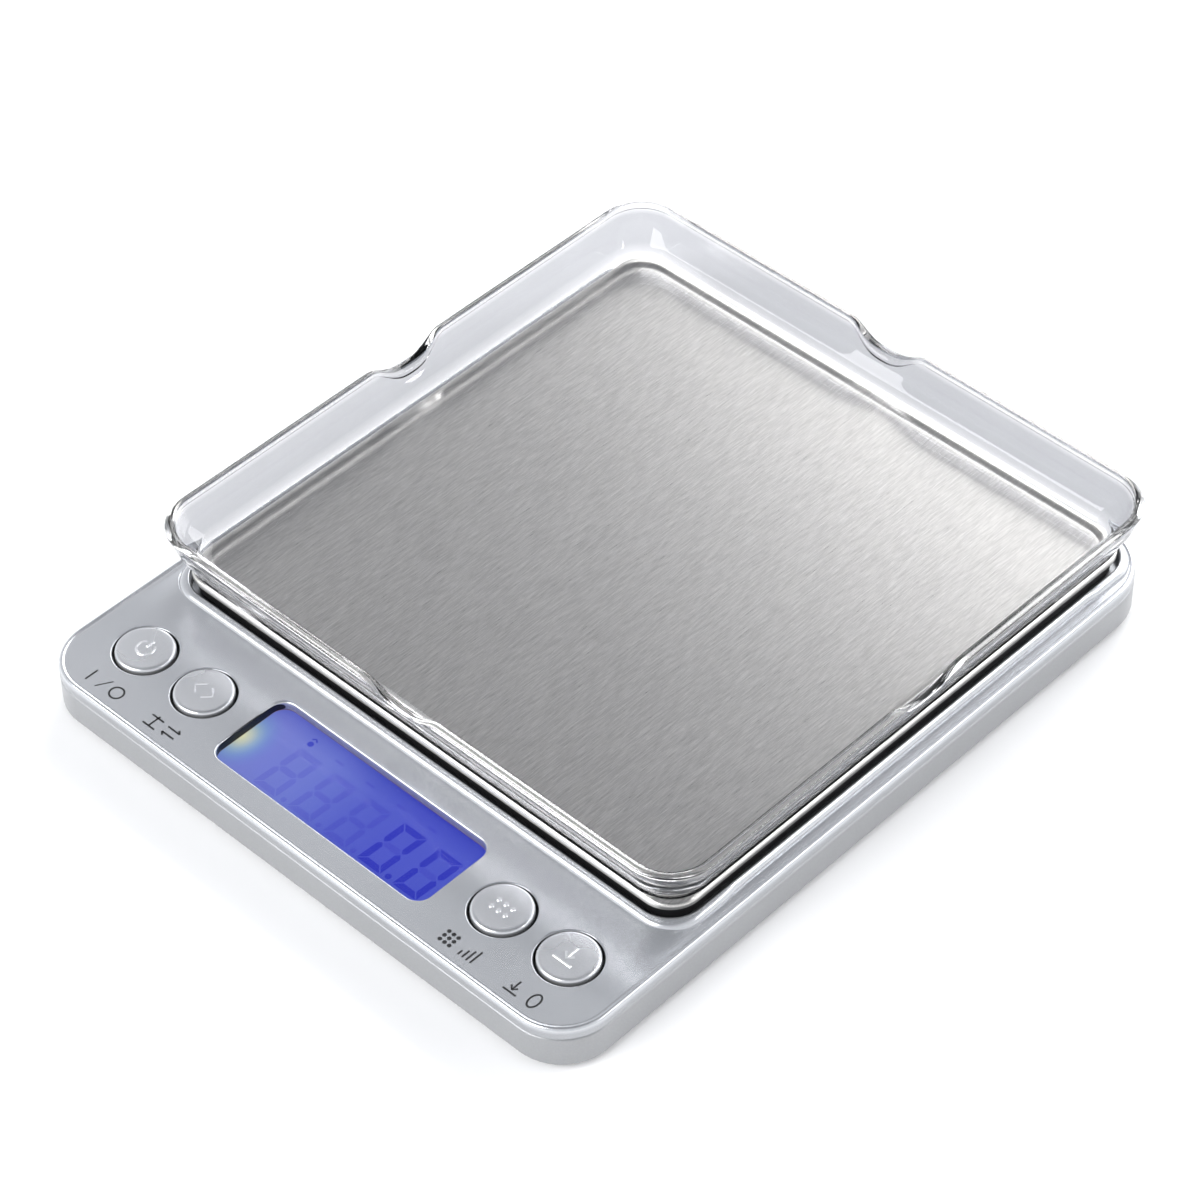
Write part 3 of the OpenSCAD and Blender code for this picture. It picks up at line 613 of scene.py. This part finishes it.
def upper_case():
    rings = []
    # underside, from the middle outwards
    rings.append(square_ring(WELL_HALF + 1, WELL_UNDER_R, SEAM_Z))
    rings.append(square_ring(WELL_HALF + 1, WELL_UNDER_R, CEILING_Z))
    rings.append(case_ring(1.65, CEILING_Z))
    rings.append(case_ring(1.65, LIP_Z + 0.05))
    rings.append(case_ring(0.8, LIP_Z + 0.05))
    rings.append(case_ring(0.8, SEAM_Z + SEAM_GAP + 0.05))
    # outer wall and the rounded bead round the top edge
    for inset, z in [(0.16, SEAM_Z + SEAM_GAP), (0.05, SEAM_Z + SEAM_GAP + 0.05), (0, SEAM_Z + SEAM_GAP + 0.16),
                     (0, 7.5), (0.03, 7.78), (0.1, 7.98), (0.2, 8.15), (0.32, 8.26), (0.45, 8.32),
                     (0.58, 8.33), (0.70, 8.30), (0.80, 8.235), (0.87, 8.175), (0.93, 8.165), (1.0, 8.19)]:
        rings.append(case_ring(inset, z))
    edge = case_ring(1.08, PANEL_Z)
    rings.append(edge)
    # flat panel, which narrows to nothing at the sides, then the cove along the front
    crease = square_ring(RIM_HALF, RIM_R, PANEL_Z)
    panel_share = (COVE_START + HALF_D) / (WELL_Y - RIM_HALF + HALF_D)
    for t in (0.2, 0.4, panel_share):
        rings.append(between(edge, crease, t, PANEL_Z))
    steps = 10
    for k in range(1, steps + 1):
        u = k / steps
        ring = between(edge, crease, panel_share + (1 - panel_share) * u * 0.985, PANEL_Z)
        rings.append(raised(ring, COVE_RISE * u ** 2))
    # crease, sloping band and rounded rim
    rim = [(51.24, PANEL_Z - 0.03, 1), (51.16, PANEL_Z - 0.02, 1), (51.10, PANEL_Z + 0.12, 0.94),
           (51.0, 8.62, 0.7), (50.85, 8.92, 0.4), (50.66, 9.16, 0.15), (50.46, 9.31, 0.05), (50.26, 9.385, 0),
           (50.1, RIM_Z, 0), (49.97, 9.385, 0), (49.88, 9.32, 0), (49.82, 9.2, 0), (WELL_HALF, 9.05, 0)]
    for half, z, share in rim:
        ring = square_ring(half, RIM_R - (RIM_HALF - half) * 0.5, z)
        ring = jogged(ring, 0.3 if half > 50.3 else 0.1 if half > 50 else 0.0)
        rings.append(raised(ring, COVE_RISE * share))
    rings.append(square_ring(WELL_HALF, WELL_R, WELL_Z + 0.3))
    rings.append(square_ring(WELL_HALF - 0.3, WELL_R - 0.3, WELL_Z))
    obj = Shape().loft(rings).make("upper_shell")
    cutters = Shape()
    edge_r = 0.28
    profile = [(HOLE_R, 4.0), (HOLE_R, PANEL_Z - 0.3)]
    profile += [(HOLE_R + edge_r - edge_r * math.cos(t), PANEL_Z - edge_r + edge_r * math.sin(t))
                for t in [math.radians(a) for a in (0, 22, 45, 68, 90)]]
    profile += [(HOLE_R + 0.3, PANEL_Z + 2)]
    for place in BUTTONS.values():
        cutters.lathe(profile, place, 96)
    wx, wy = WINDOW_HALF
    rings = []
    for grow, z in [(0, 4.0), (0, PANEL_Z - 0.35), (0.02, PANEL_Z - 0.22), (0.08, PANEL_Z - 0.1),
                    (0.18, PANEL_Z - 0.03), (0.3, PANEL_Z + 0.005), (0.32, PANEL_Z + 2)]:
        rings.append(flat(outline(wx + grow, CONTROL_Y - wy - grow, CONTROL_Y + wy + grow, WINDOW_R + grow,
                                  WINDOW_R + grow), z))
    cutters.loft(rings)
    # slot in the well's floor for the load cell
    cutters.box((-9, WELL_Y - 26.3, 3), (9, WELL_Y + 26.3, 8))
    cut(obj, upper_bosses(), "UNION")
    cut(obj, cutters.make("cutter"))
    cut(obj, boss_holes())
    tidy_mesh(obj.data)
    paint(obj, SILVER)
    return finish_piece(obj, "case", ["upper_case"], 40)


def each_side(places):
    """Places on the right and their mirror images on the left."""
    return [(side * x, y) for side in (-1, 1) for x, y in places]


def stop_places():
    """Middles of the four overload stops."""
    return [(x, WELL_Y + y) for x in (-STOP_OFFSET, STOP_OFFSET) for y in (-STOP_OFFSET, STOP_OFFSET)]


def upper_bosses():
    """Round bosses under the panel and the well."""
    shape = Shape()
    for place in each_side(CASE_SCREWS):
        shape.lathe([(2.7, 3.2), (2.7, CEILING_Z + 0.3)], place, 48)
    for x, y in each_side(BOARD_SCREWS):
        shape.lathe([(1.9, 3.76), (1.9, CEILING_Z + 0.3)], (x, CONTROL_Y + y), 48)
    for place in stop_places():
        shape.lathe([(3.0, 4.6), (3.0, SEAM_Z + 0.4)], place, 48)
    return shape.make("bosses")


def boss_holes():
    shape = Shape()
    for place in each_side(CASE_SCREWS):
        shape.lathe([(1.0, 3), (1.0, CEILING_Z)], place, 32)
    for x, y in each_side(BOARD_SCREWS):
        shape.lathe([(0.8, 3), (0.8, CEILING_Z)], (x, CONTROL_Y + y), 32)
    for place in stop_places():
        shape.lathe([(1.5, 4), (1.5, 8)], place, 32)
    return shape.make("holes")


# ---------- lower case ----------

def lower_case():
    z0, bottom_r = BASE_Z, 0.75
    rings = [case_ring(1.6, FLOOR_Z), case_ring(1.6, LIP_Z), case_ring(0.85, LIP_Z),
             case_ring(0.85, SEAM_Z), case_ring(0.4, SEAM_Z), case_ring(0.24, SEAM_Z - 0.03),
             case_ring(0.11, SEAM_Z - 0.11), case_ring(0.03, SEAM_Z - 0.24), case_ring(0, SEAM_Z - 0.4),
             case_ring(0, z0 + bottom_r)]
    for a in (20, 40, 60, 80, 90):
        t = math.radians(a)
        rings.append(case_ring(bottom_r - bottom_r * math.cos(t), z0 + bottom_r - bottom_r * math.sin(t)))
    obj = Shape().loft(rings).make("base_shell")
    bosses = Shape()
    for place in each_side(CASE_SCREWS):
        bosses.lathe([(3.0, FLOOR_Z - 0.3), (3.0, 3.0), (2.8, 3.2)], place, 48)
    cut(obj, bosses.make("bosses"), "UNION")
    pads = Shape()
    for place in each_side(FEET):
        pads.lathe([(5.5, FLOOR_Z - 0.3), (5.5, FLOOR_Z + 0.3), (5.4, FLOOR_Z + 0.4)], place, 64)
    cut(obj, pads.make("pads"), "UNION")
    cell_front = WELL_Y - 23
    cut(obj, Shape().box((-7, cell_front - 1, FLOOR_Z - 0.3), (7, cell_front + 17, 2.7)).make("pad"), "UNION")
    cut(obj, battery_bay(), "UNION")
    cutters = Shape()
    for place in each_side(CASE_SCREWS):
        cutters.lathe([(2.5, 0), (2.5, z0 - 0.01), (2.3, z0 + 0.2), (2.3, 2.0), (1.2, 2.0), (1.2, 4)], place, 48)
    for y in (5, 12):
        cutters.lathe([(2.8, 0), (2.8, z0 + 1), (1.55, z0 + 1), (1.55, 4)], (0, cell_front + y), 48)
    cutters.box((LABEL_LOW.x - LABEL_GAP, LABEL_LOW.y - LABEL_GAP, 0),
                (LABEL_HIGH.x + LABEL_GAP, LABEL_HIGH.y + LABEL_GAP, z0 + 0.2))
    cut(obj, cutters.make("cutter"))
    sockets = Shape()
    for place in each_side(FEET):
        sockets.lathe([(4.5, 0), (4.5, z0 + 0.4)], place, 64)
    cut(obj, sockets.make("sockets"))
    door_half = DOOR_HIGH.x - DOOR_RAIL + DOOR_GAP
    groove_half = door_half + DOOR_RAIL
    front, past_back = DOOR_LOW.y - DOOR_GAP, HALF_D + 1
    cut(obj, Shape().box((-door_half, front, 0), (door_half, past_back, 2.35)).make("opening"))
    cut(obj, Shape().box((-groove_half, front, 1.0), (groove_half, past_back, 1.6)).make("groove"))
    tidy_mesh(obj.data)
    paint(obj, BASE)
    return finish_piece(obj, "case", ["lower_case"], 40)


def battery_bay():
    """Block with two round pockets for the coin cells, notched round the load cell's end."""
    front = DOOR_LOW.y - 1.4
    block = Shape().box((-BAY_HALF, front, FLOOR_Z - 0.3), (BAY_HALF, BAY_BACK, BAY_TOP)).make("bay")
    cutters = Shape()
    for x in (-CELL_X, CELL_X):
        cutters.lathe([(CELL_POCKET_R, 0), (CELL_POCKET_R, 8)], (x, CELL_Y), 96)
    cut(block, cutters.make("pockets"))
    slots = Shape()
    for x in (-21.5, 21.5):
        slots.box((x - 0.6, 44.3, 0), (x + 0.6, 48.7, 8))
    cut(block, slots.make("slots"))
    return cut(block, Shape().box((-6.5, 0, 2.2), (6.5, WELL_Y + 23.5, 9)).make("notch"))


# ---------- platform and tray ----------

def platform_plate():
    """Pressed sheet: a top with a skirt round it."""
    z1, z0, half, r, t = PLATE_HIGH.z, PLATE_LOW.z, PLATE_HIGH.x, PLATE_R, PLATE_SHEET
    rings = [square_ring(half - t, r - t, z1 - t), square_ring(half - t, r - t, z0), square_ring(half, r, z0)]
    for a in (0, 15, 30, 45, 60, 75, 90):
        inset = PLATE_EDGE_R - PLATE_EDGE_R * math.cos(math.radians(a))
        z = z1 - PLATE_EDGE_R + PLATE_EDGE_R * math.sin(math.radians(a))
        rings.append(square_ring(half - inset, r - inset, z))
    obj = Shape().loft(rings).make("plate_skin", "platform", "stainless", ["platform_plate"])
    grain_uv(obj)
    paint(obj, STEEL)
    return obj


def notch_share(x, y):
    """How much of the finger notch's depth reaches a point of the rim, from 0 to 1."""
    u = min(abs(x), abs(y - WELL_Y)) / (NOTCH_WIDTH / 2)
    return 0.0 if u >= 1 else 0.5 + 0.5 * math.cos(math.pi * u ** 1.4)


def tray():
    """Clear shell from the middle of its underside, up the outside, over the lip and down the inside."""
    top, low = TRAY_HIGH.z, TRAY_LOW.z + TRAY_LIFT
    wall, outer, inner = TRAY_WALL, TRAY_OUTER_BEND, TRAY_INNER_BEND
    rim_half = TRAY_HIGH.x
    floor_half = rim_half - TRAY_SPREAD
    lean = (rim_half - floor_half) / (top - low)

    def half_at(z):
        return floor_half + lean * (z - low)

    def ring(half, r, z, drop=0.0):
        """drop is how far the ring dips in the middle of a notch; it follows the wall's lean as it dips."""
        points = []
        for x, y, zz in square_ring(half, r, z, along=96, side=96, turn=16):
            dip = drop * notch_share(x, y)
            if abs(x) > abs(y - WELL_Y):
                x -= math.copysign(dip * lean, x)
            else:
                y -= math.copysign(dip * lean, y - WELL_Y)
            points.append((x, y, zz - dip))
        return points

    rings = [ring(floor_half - 2.4, 5.2, low)]
    for a in (15, 30, 45, 60, 75, 90):
        t = math.radians(a)
        rings.append(ring(floor_half - outer + outer * math.sin(t), 5.6 + math.sin(t),
                          low + outer - outer * math.cos(t)))
    for k in (0.45, 0.7, 0.85, 0.94):
        z = low + outer + (top - low - outer) * k
        rings.append(ring(half_at(z), 6.6 + 1.2 * k, z, NOTCH_OUTER * max(0, (k - 0.4) / 0.6)))
    lip = wall / 2
    for a in (0, 25, 50, 70, 90, 110, 130, 155, 180):
        t = math.radians(a)
        rings.append(ring(rim_half - lip + lip * math.cos(t), 7.8 - lip + lip * math.cos(t),
                          top - TRAY_LIP + TRAY_LIP * math.sin(t),
                          NOTCH_OUTER + (NOTCH_INNER - NOTCH_OUTER) * a / 180))
    for k in (0.94, 0.85, 0.7, 0.45):
        z = low + outer + (top - low - outer) * k
        rings.append(ring(half_at(z) - wall, 5.3 + 1.1 * k, z, NOTCH_INNER * max(0, (k - 0.4) / 0.6)))
    floor_z = low + wall
    for a in (90, 70, 50, 30, 15, 0):
        t = math.radians(a)
        rings.append(ring(floor_half - wall - inner + inner * math.sin(t), 3.6 + 1.6 * math.sin(t),
                          floor_z + inner - inner * math.cos(t)))
    obj = Shape().loft(rings).make("clear_tray", "tray", "clear_plastic", ["tray"], 60)
    paint(obj, CLEAR)
    return obj


# ---------- buttons ----------

def stroke(points, width):
    """Flat outline of a thick line through a few points."""
    left, right = [], []
    for i, p in enumerate(points):
        a = Vector(points[max(i - 1, 0)])
        b = Vector(points[min(i + 1, len(points) - 1)])
        d = (b - a).normalized() * width / 2
        left.append((p[0] - d.y, p[1] + d.x))
        right.append((p[0] + d.y, p[1] - d.x))
    return list(reversed(left)) + right


def ring_points(r, start, end):
    """Points on an arc about the origin, with both ends; angles in degrees."""
    steps = 28
    return [(r * math.cos(math.radians(t)), r * math.sin(math.radians(t)))
            for t in [start + (end - start) * i / steps for i in range(steps + 1)]]


def disc(cx, cy, r, steps=24):
    return [(cx + r * math.cos(2 * math.pi * i / steps), cy + r * math.sin(2 * math.pi * i / steps))
            for i in range(steps)]


def icon(name, grow):
    """Outlines of the raised sign on a button, wider or narrower by grow."""
    line = 0.36 + grow
    if name == "button_power":
        return [stroke(ring_points(1.35, 125, 415), line), stroke([(0, 0.35 - grow / 2), (0, 1.75 + grow / 2)], line)]
    if name == "button_mode":
        return [stroke([(side * 0.6, 1.2), (side * 1.8, 0), (side * 0.6, -1.2)][::side], line) for side in (1, -1)]
    if name == "button_count":
        return [disc(x, y, 0.4 + grow / 2) for x in (-1.3, 0, 1.3) for y in (-0.75, 0.75)]
    half = grow / 2
    return [stroke([(-1.6 - half, -1.3), (1.6 + half, -1.3)], line), stroke([(0, 1.7 + half), (0, -0.3)], line),
            stroke([(-0.8, 0.3), (0, -0.55), (0.8, 0.3)], line)]


def button(name):
    """Hollow cap with a stem, a flange and a raised sign."""
    cx, cy = BUTTONS[name]
    low, high = mm_box(name)
    top = high.z - ICON_RISE
    r, stem_r, inside_r, edge_r = CAP_R, 1.6, CAP_R - 1.2, 0.5
    inside_z, flange_z0, flange_z1 = top - 1.1, 6.15, 6.74
    profile = [(0.001, low.z), (stem_r, low.z), (stem_r, inside_z), (inside_r, inside_z), (inside_r, flange_z0),
               (FLANGE_R, flange_z0), (FLANGE_R, flange_z1), (r, flange_z1)]
    profile += [(r - edge_r + edge_r * math.cos(math.radians(a)), top - edge_r + edge_r * math.sin(math.radians(a)))
                for a in (0, 18, 36, 54, 72, 84)]
    profile += [(r - 0.75, top), (0.001, top)]
    shape = Shape().lathe(profile, (cx, cy), 96)
    for wide, slim in zip(icon(name, 0.1), icon(name, -0.12)):
        layers = [(wide, top - 0.05), (wide, top), (slim, high.z - 0.005)]
        shape.loft([[(cx + x, cy + y, z) for x, y in points] for points, z in layers])
    obj = shape.make(name + "_cap", name + "_cap", "button_silver", [name], 40)
    paint(obj, BUTTON)
    return obj


# ---------- display ----------

def digit(cx, cy, lit):
    """Seven-segment digit with mitred corners. lit names the segments a to g."""
    (w, h), t, m = DIGIT_HALF, SEGMENT_W, SEGMENT_W / 2
    bars = {"a": [(-w, h), (w, h), (w - t, h - t), (-w + t, h - t)],
            "f": [(-w, h), (-w + t, h - t), (-w + t, m), (-w + m, 0), (-w, m)],
            "g": [(-w + m, 0), (-w + t, m), (w - t, m), (w - m, 0), (w - t, -m), (-w + t, -m)]}
    for key, other, sx, sy in (("b", "f", -1, 1), ("c", "f", -1, -1), ("d", "a", -1, -1), ("e", "f", 1, -1)):
        bars[key] = [(sx * x, sy * y) for x, y in bars[other]]
    out = []
    for key in lit:
        points = bars[key]
        mx = sum(x for x, y in points) / len(points)
        my = sum(y for x, y in points) / len(points)
        # Each bar is shortened only along its own length, so that no two corners meet at one point.
        dx, dy = (2 * SEGMENT_GAP, 0) if key in "adg" else (0, 2 * SEGMENT_GAP)
        shrunk = [(x - math.copysign(min(dx, abs(x - mx)), x - mx), y - math.copysign(min(dy, abs(y - my)), y - my))
                  for x, y in points]
        out.append([(cx + x + DIGIT_SLANT * y, cy + y) for x, y in shrunk])
    return out


def plates(name, outlines, z0, z1, mat, slot):
    """Thin upright plates over flat outlines, as one piece of the case."""
    shape = Shape()
    for points in outlines:
        shape.prism(points, z0, z1)
    obj = shape.make(name, "case", slot, (), 40, False)
    paint(obj, mat)
    return obj


def lcd_material(name="lcd_backlight", share=(1, 1, 1)):
    """Blue backlight: paler towards its LED at the left, darkened along the top edge as painted shade; share dims each
    colour.
    """
    mat, nodes, links, bsdf = new_material(name)
    vector, axes = object_axes(nodes, links)

    def dimmed(stops):
        return [(place, tuple(c * part for c, part in zip(color, share))) for place, color in stops]

    across = over_range(nodes, links, axes["X"], -21, 21)
    base = ramp(nodes, links, across, dimmed([(0, (0.175, 0.205, 0.55)), (0.3, (0.14, 0.18, 0.55)),
                                              (0.5, (0.082, 0.109, 0.50)), (0.7, (0.062, 0.082, 0.49)),
                                              (1, (0.056, 0.08, 0.48))]))
    # Painted shade: the backlight is darkened along its top edge, under the opening's rear wall.
    up = over_range(nodes, links, axes["Y"], CONTROL_Y - WINDOW_HALF[1], CONTROL_Y + 8)
    top_shade = ramp(nodes, links, up, [(0, (1, 1, 1)), (0.75, (1, 1, 1)), (1, (0.5, 0.52, 0.85))])
    blend = put(nodes, "ShaderNodeMix", data_type="RGBA", blend_type="MULTIPLY")
    blend.inputs[0].default_value = 1
    links.new(base, blend.inputs[6])
    links.new(top_shade, blend.inputs[7])
    squeeze = put(nodes, "ShaderNodeMapping", vector_type="POINT")
    squeeze.inputs["Scale"].default_value = (1, GLOW_SQUEEZE, 0)
    links.new(vector, squeeze.inputs["Vector"])
    spot = put(nodes, "ShaderNodeVectorMath", operation="DISTANCE")
    spot.inputs[1].default_value = (GLOW_AT[0] * MM, GLOW_AT[1] * GLOW_SQUEEZE * MM, 0)
    links.new(squeeze.outputs["Vector"], spot.inputs[0])
    near = over_range(nodes, links, spot.outputs["Value"], 0, 6)
    hot = ramp(nodes, links, near, dimmed([(0, (0.70, 0.70, 0.42)), (0.2, (0.52, 0.58, 0.44)),
                                           (0.36, (0.30, 0.44, 0.50)), (0.55, (0.18, 0.34, 0.54)),
                                           (0.75, (0.14, 0.25, 0.55))]))
    amount = ramp(nodes, links, near, [(0, (1, 1, 1)), (0.35, (0.85, 0.85, 0.85)), (0.9, (0, 0, 0))])
    links.new(mix_colors(nodes, links, amount, blend.outputs[2], hot), bsdf.inputs["Emission Color"])
    bsdf.inputs["Emission Strength"].default_value = 1.0
    bsdf.inputs["Base Color"].default_value = (0.02, 0.02, 0.08, 1)
    bsdf.inputs["Roughness"].default_value = 0.35
    bsdf.inputs["Specular IOR Level"].default_value = 0.1
    return mat


def display():
    """Glass, its lit segments and the faint unlit ones. Digits are counted from the right."""
    low, high = LCD_LOW, LCD_HIGH
    z = high.z - 0.04
    shape = Shape()
    shape.loft([flat(outline(-low.x - i, low.y + i, high.y - i, 0.3, 0.3), level)
                for i, level in ((0.1, low.z), (0, low.z + 0.1), (0, high.z - 0.1), (0.06, z))])
    glass = shape.make("lcd_glass", "case", "lcd_blue", ["lcd_panel"], 40)
    paint(glass, lcd_material())
    dark = lcd_material("segment_dark", (0.30, 0.32, 0.86))
    ghost = lcd_material("segment_ghost", (0.82, 0.78, 0.96))
    xs = [LAST_DIGIT_X - DIGIT_PITCH * k for k in range(5)]
    lit = []
    for k in (0, 1):
        lit += digit(xs[k], DIGIT_Y, "abcdef")
    # decimal point, then the generic sign where the unit stands
    lit.append(disc(12.9, -56.6, 0.5, 16))
    lit.append(disc(-13.0, -46.7, 0.5, 20))
    lit.append(stroke([(-13.5, -45.9), (-13.0, -45.5), (-12.5, -45.9)], 0.25))
    plates("lcd_digits", lit, z, z + 0.03, dark, "lcd_blue")
    faint = []
    for k in (2, 3, 4):
        faint += digit(xs[k], DIGIT_Y, "abcdefg")
        faint.append(disc(xs[k] + 3.35, -56.6, 0.45, 16))
    for k in (0, 1):
        faint += digit(xs[k], DIGIT_Y, "g")
    for k in range(4):
        faint.append(stroke([(-8.2 + 6.2 * k, -46.4), (-6.6 + 6.2 * k, -46.4)], 0.4))
    plates("lcd_ghosts", faint, z, z + 0.02, ghost, "lcd_blue")


# ---------- printed pictograms ----------

def printed_marks():
    """Two small generic signs below each button."""
    line = 0.3
    marks = []

    def at(x, outlines):
        marks.extend([[(x + px, MARKS_Y + py) for px, py in points] for points in outlines])

    at(-44.5, [stroke([(0, -1.2), (0, 1.2)], line)])
    at(-41.8, [stroke([(-0.7, -1.2), (0.7, 1.2)], 0.2)])
    at(-39.1, [stroke(ring_points(1.1, 0, 358), line)])
    at(-31.0, [stroke([(-1.2, -1.2), (1.2, -1.2)], line), stroke([(0, -1.2), (0, 1.1)], line),
               stroke([(-1.2, 0.7), (1.2, 0.7)], line)])
    at(-27.6, [stroke([(-1.2, 0.6), (1.2, 0.6)], line), stroke([(0.6, 1.1), (1.2, 0.6)], line),
               stroke([(1.2, -0.6), (-1.2, -0.6)], line), stroke([(-0.6, -1.1), (-1.2, -0.6)], line)])
    at(28.2, [disc(px, py, 0.33, 16) for px in (-0.9, 0, 0.9) for py in (-0.9, 0, 0.9)])
    at(32.1, [stroke([(px, -1.2), (px, py)], line) for px, py in ((-1.1, -0.3), (-0.35, 0.3), (0.4, 0.8), (1.15, 1.3))])
    at(40.6, [stroke([(-1.2, -1.1), (1.2, -1.1)], line), stroke([(0, 1.2), (0, -0.6)], line),
              stroke([(-0.6, 0), (0, -0.65), (0.6, 0)], line)])
    at(44.2, [stroke([(px * 0.7, py * 1.15) for px, py in ring_points(1.1, 0, 358)], line)])
    plates("printed_marks", marks, PANEL_Z - 0.004, PANEL_Z + 0.012, PRINT, "black_plastic")


# ---------- feet ----------

def feet():
    shape = Shape()
    profile = [(0.001, 0.0), (3.9, 0.0), (4.1, 0.04), (4.25, 0.14), (4.32, 0.3), (4.4, 0.7), (4.45, 0.75),
               (4.45, 1.1), (0.001, 1.1)]
    for place in each_side(FEET):
        shape.lathe(profile, place, 64)
    obj = shape.make("soft_feet", "case", "foot_rubber", ["rubber_feet"], 40)
    paint(obj, RUBBER)


# ---------- pieces kept from the frame ----------

KEPT = {
    "display_window": LENS, "window_adhesive": BROWN, "lcd_frame": WHITE, "backlight_panel": GUIDE,
    "backlight_led": LED, "lcd_connector": ELASTOMER, "main_board": BOARD, "controller_chip": CHIP,
    "board_components": CERAMIC, "tact_switches": ZINC, "board_screws": ZINC, "load_cell": MILLED,
    "gauge_potting": SILICONE, "gauge_wires": WIRE_RED, "load_cell_base_screws": ZINC,
    "battery_wires": WIRE_BLACK, "coin_cell_left": ZINC, "coin_cell_right": ZINC,
    "battery_link_strip": NICKEL, "battery_side_contacts": NICKEL, "case_screws": ZINC,
    "overload_stops": ZINC, "blank_label": PAPER, "platform_support": BLACK, "plate_tapes": TAPE,
    "load_cell_spacer": MILLED, "platform_screws": ZINC, "battery_door": BASE, "battery_door_foam": FOAM,
}


def kept_nodes():
    for name, mat in KEPT.items():
        paint(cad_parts[name], mat)


# ---------- camera, floor and lights ----------

def camera():
    """Camera fitted to the photograph, whose frame is 1200 pixels wide."""
    place = Vector((294.455, -303.304, 427.638)) * MM
    target = Vector((0.256, -1.140, 10.916)) * MM
    roll = math.radians(-0.861)
    focal_pixels, frame_pixels, sensor = 4093.545, 1200, 36.0
    forward = (target - place).normalized()
    right = forward.cross(Vector((0, 0, 1))).normalized()
    up = right.cross(forward)
    cam_x = math.cos(roll) * right + math.sin(roll) * up
    cam_y = -math.sin(roll) * right + math.cos(roll) * up
    data = bpy.data.cameras.new("photo_camera")
    data.sensor_width = sensor
    data.lens = focal_pixels / frame_pixels * sensor
    data.clip_start = 0.01
    data.clip_end = 20
    obj = bpy.data.objects.new("photo_camera", data)
    bpy.context.scene.collection.objects.link(obj)
    rows = Matrix((cam_x, cam_y, -forward)).transposed()
    obj.matrix_world = Matrix.Translation(place) @ rows.to_4x4()
    bpy.context.scene.camera = obj


def area_light(name, place, target, size, power):
    data = bpy.data.lights.new(name, "AREA")
    data.shape = "RECTANGLE"
    data.size, data.size_y = size
    data.energy = power
    obj = bpy.data.objects.new(name, data)
    bpy.context.scene.collection.objects.link(obj)
    obj.location = place
    obj.rotation_euler = (Vector(target) - Vector(place)).to_track_quat("-Z", "Y").to_euler()


def studio():
    """Pale floor, a sky that darkens overhead, and three soft lights. Lengths are in metres here."""
    mesh = bpy.data.meshes.new("floor")
    half = 6.0
    mesh.from_pydata([(-half, -half, 0), (half, -half, 0), (half, half, 0), (-half, half, 0)], [], [(0, 1, 2, 3)])
    floor = bpy.data.objects.new("floor", mesh)
    bpy.context.scene.collection.objects.link(floor)
    paint(floor, grained("floor_white", (0.95, 0.95, 0.95), 0.8, 0.004, 20, 0, 0.00001, 0.02))
    world = bpy.data.worlds.new("studio")
    bpy.context.scene.world = world
    world.use_nodes = True
    nodes, links = world.node_tree.nodes, world.node_tree.links
    coords = put(nodes, "ShaderNodeTexCoord")
    split = put(nodes, "ShaderNodeSeparateXYZ")
    links.new(coords.outputs["Generated"], split.inputs["Vector"])
    sky = ramp(nodes, links, split.outputs["Z"], [(0, (0.96, 0.97, 0.99)), (0.35, (0.84, 0.86, 0.89)),
                                                  (0.7, (0.63, 0.64, 0.67)), (0.86, (0.16, 0.17, 0.19))])
    links.new(sky, nodes["Background"].inputs["Color"])
    nodes["Background"].inputs["Strength"].default_value = 1.0
    area_light("back_softbox", (-0.05, 1.05, 0.62), (-0.05, 0, 0.62), (1.9, 1.07), 26)
    area_light("key_softbox", (-0.3, -1.1, 0.8), (0, 0, 0), (1.1, 0.75), 18)
    area_light("side_strip", (1.0, 0.7, 0.69), (0, 0, 0), (0.9, 0.12), 4)
    scene = bpy.context.scene
    scene.view_settings.view_transform = "Standard"
    # Enough bounces for light to find its way out of the tray's edges
    scene.cycles.max_bounces = 24
    scene.cycles.glossy_bounces = 16
    scene.cycles.transmission_bounces = 24


camera()
studio()
upper_case()
lower_case()
platform_plate()
tray()
for button_name in BUTTONS:
    button(button_name)
display()
printed_marks()
feet()
kept_nodes()
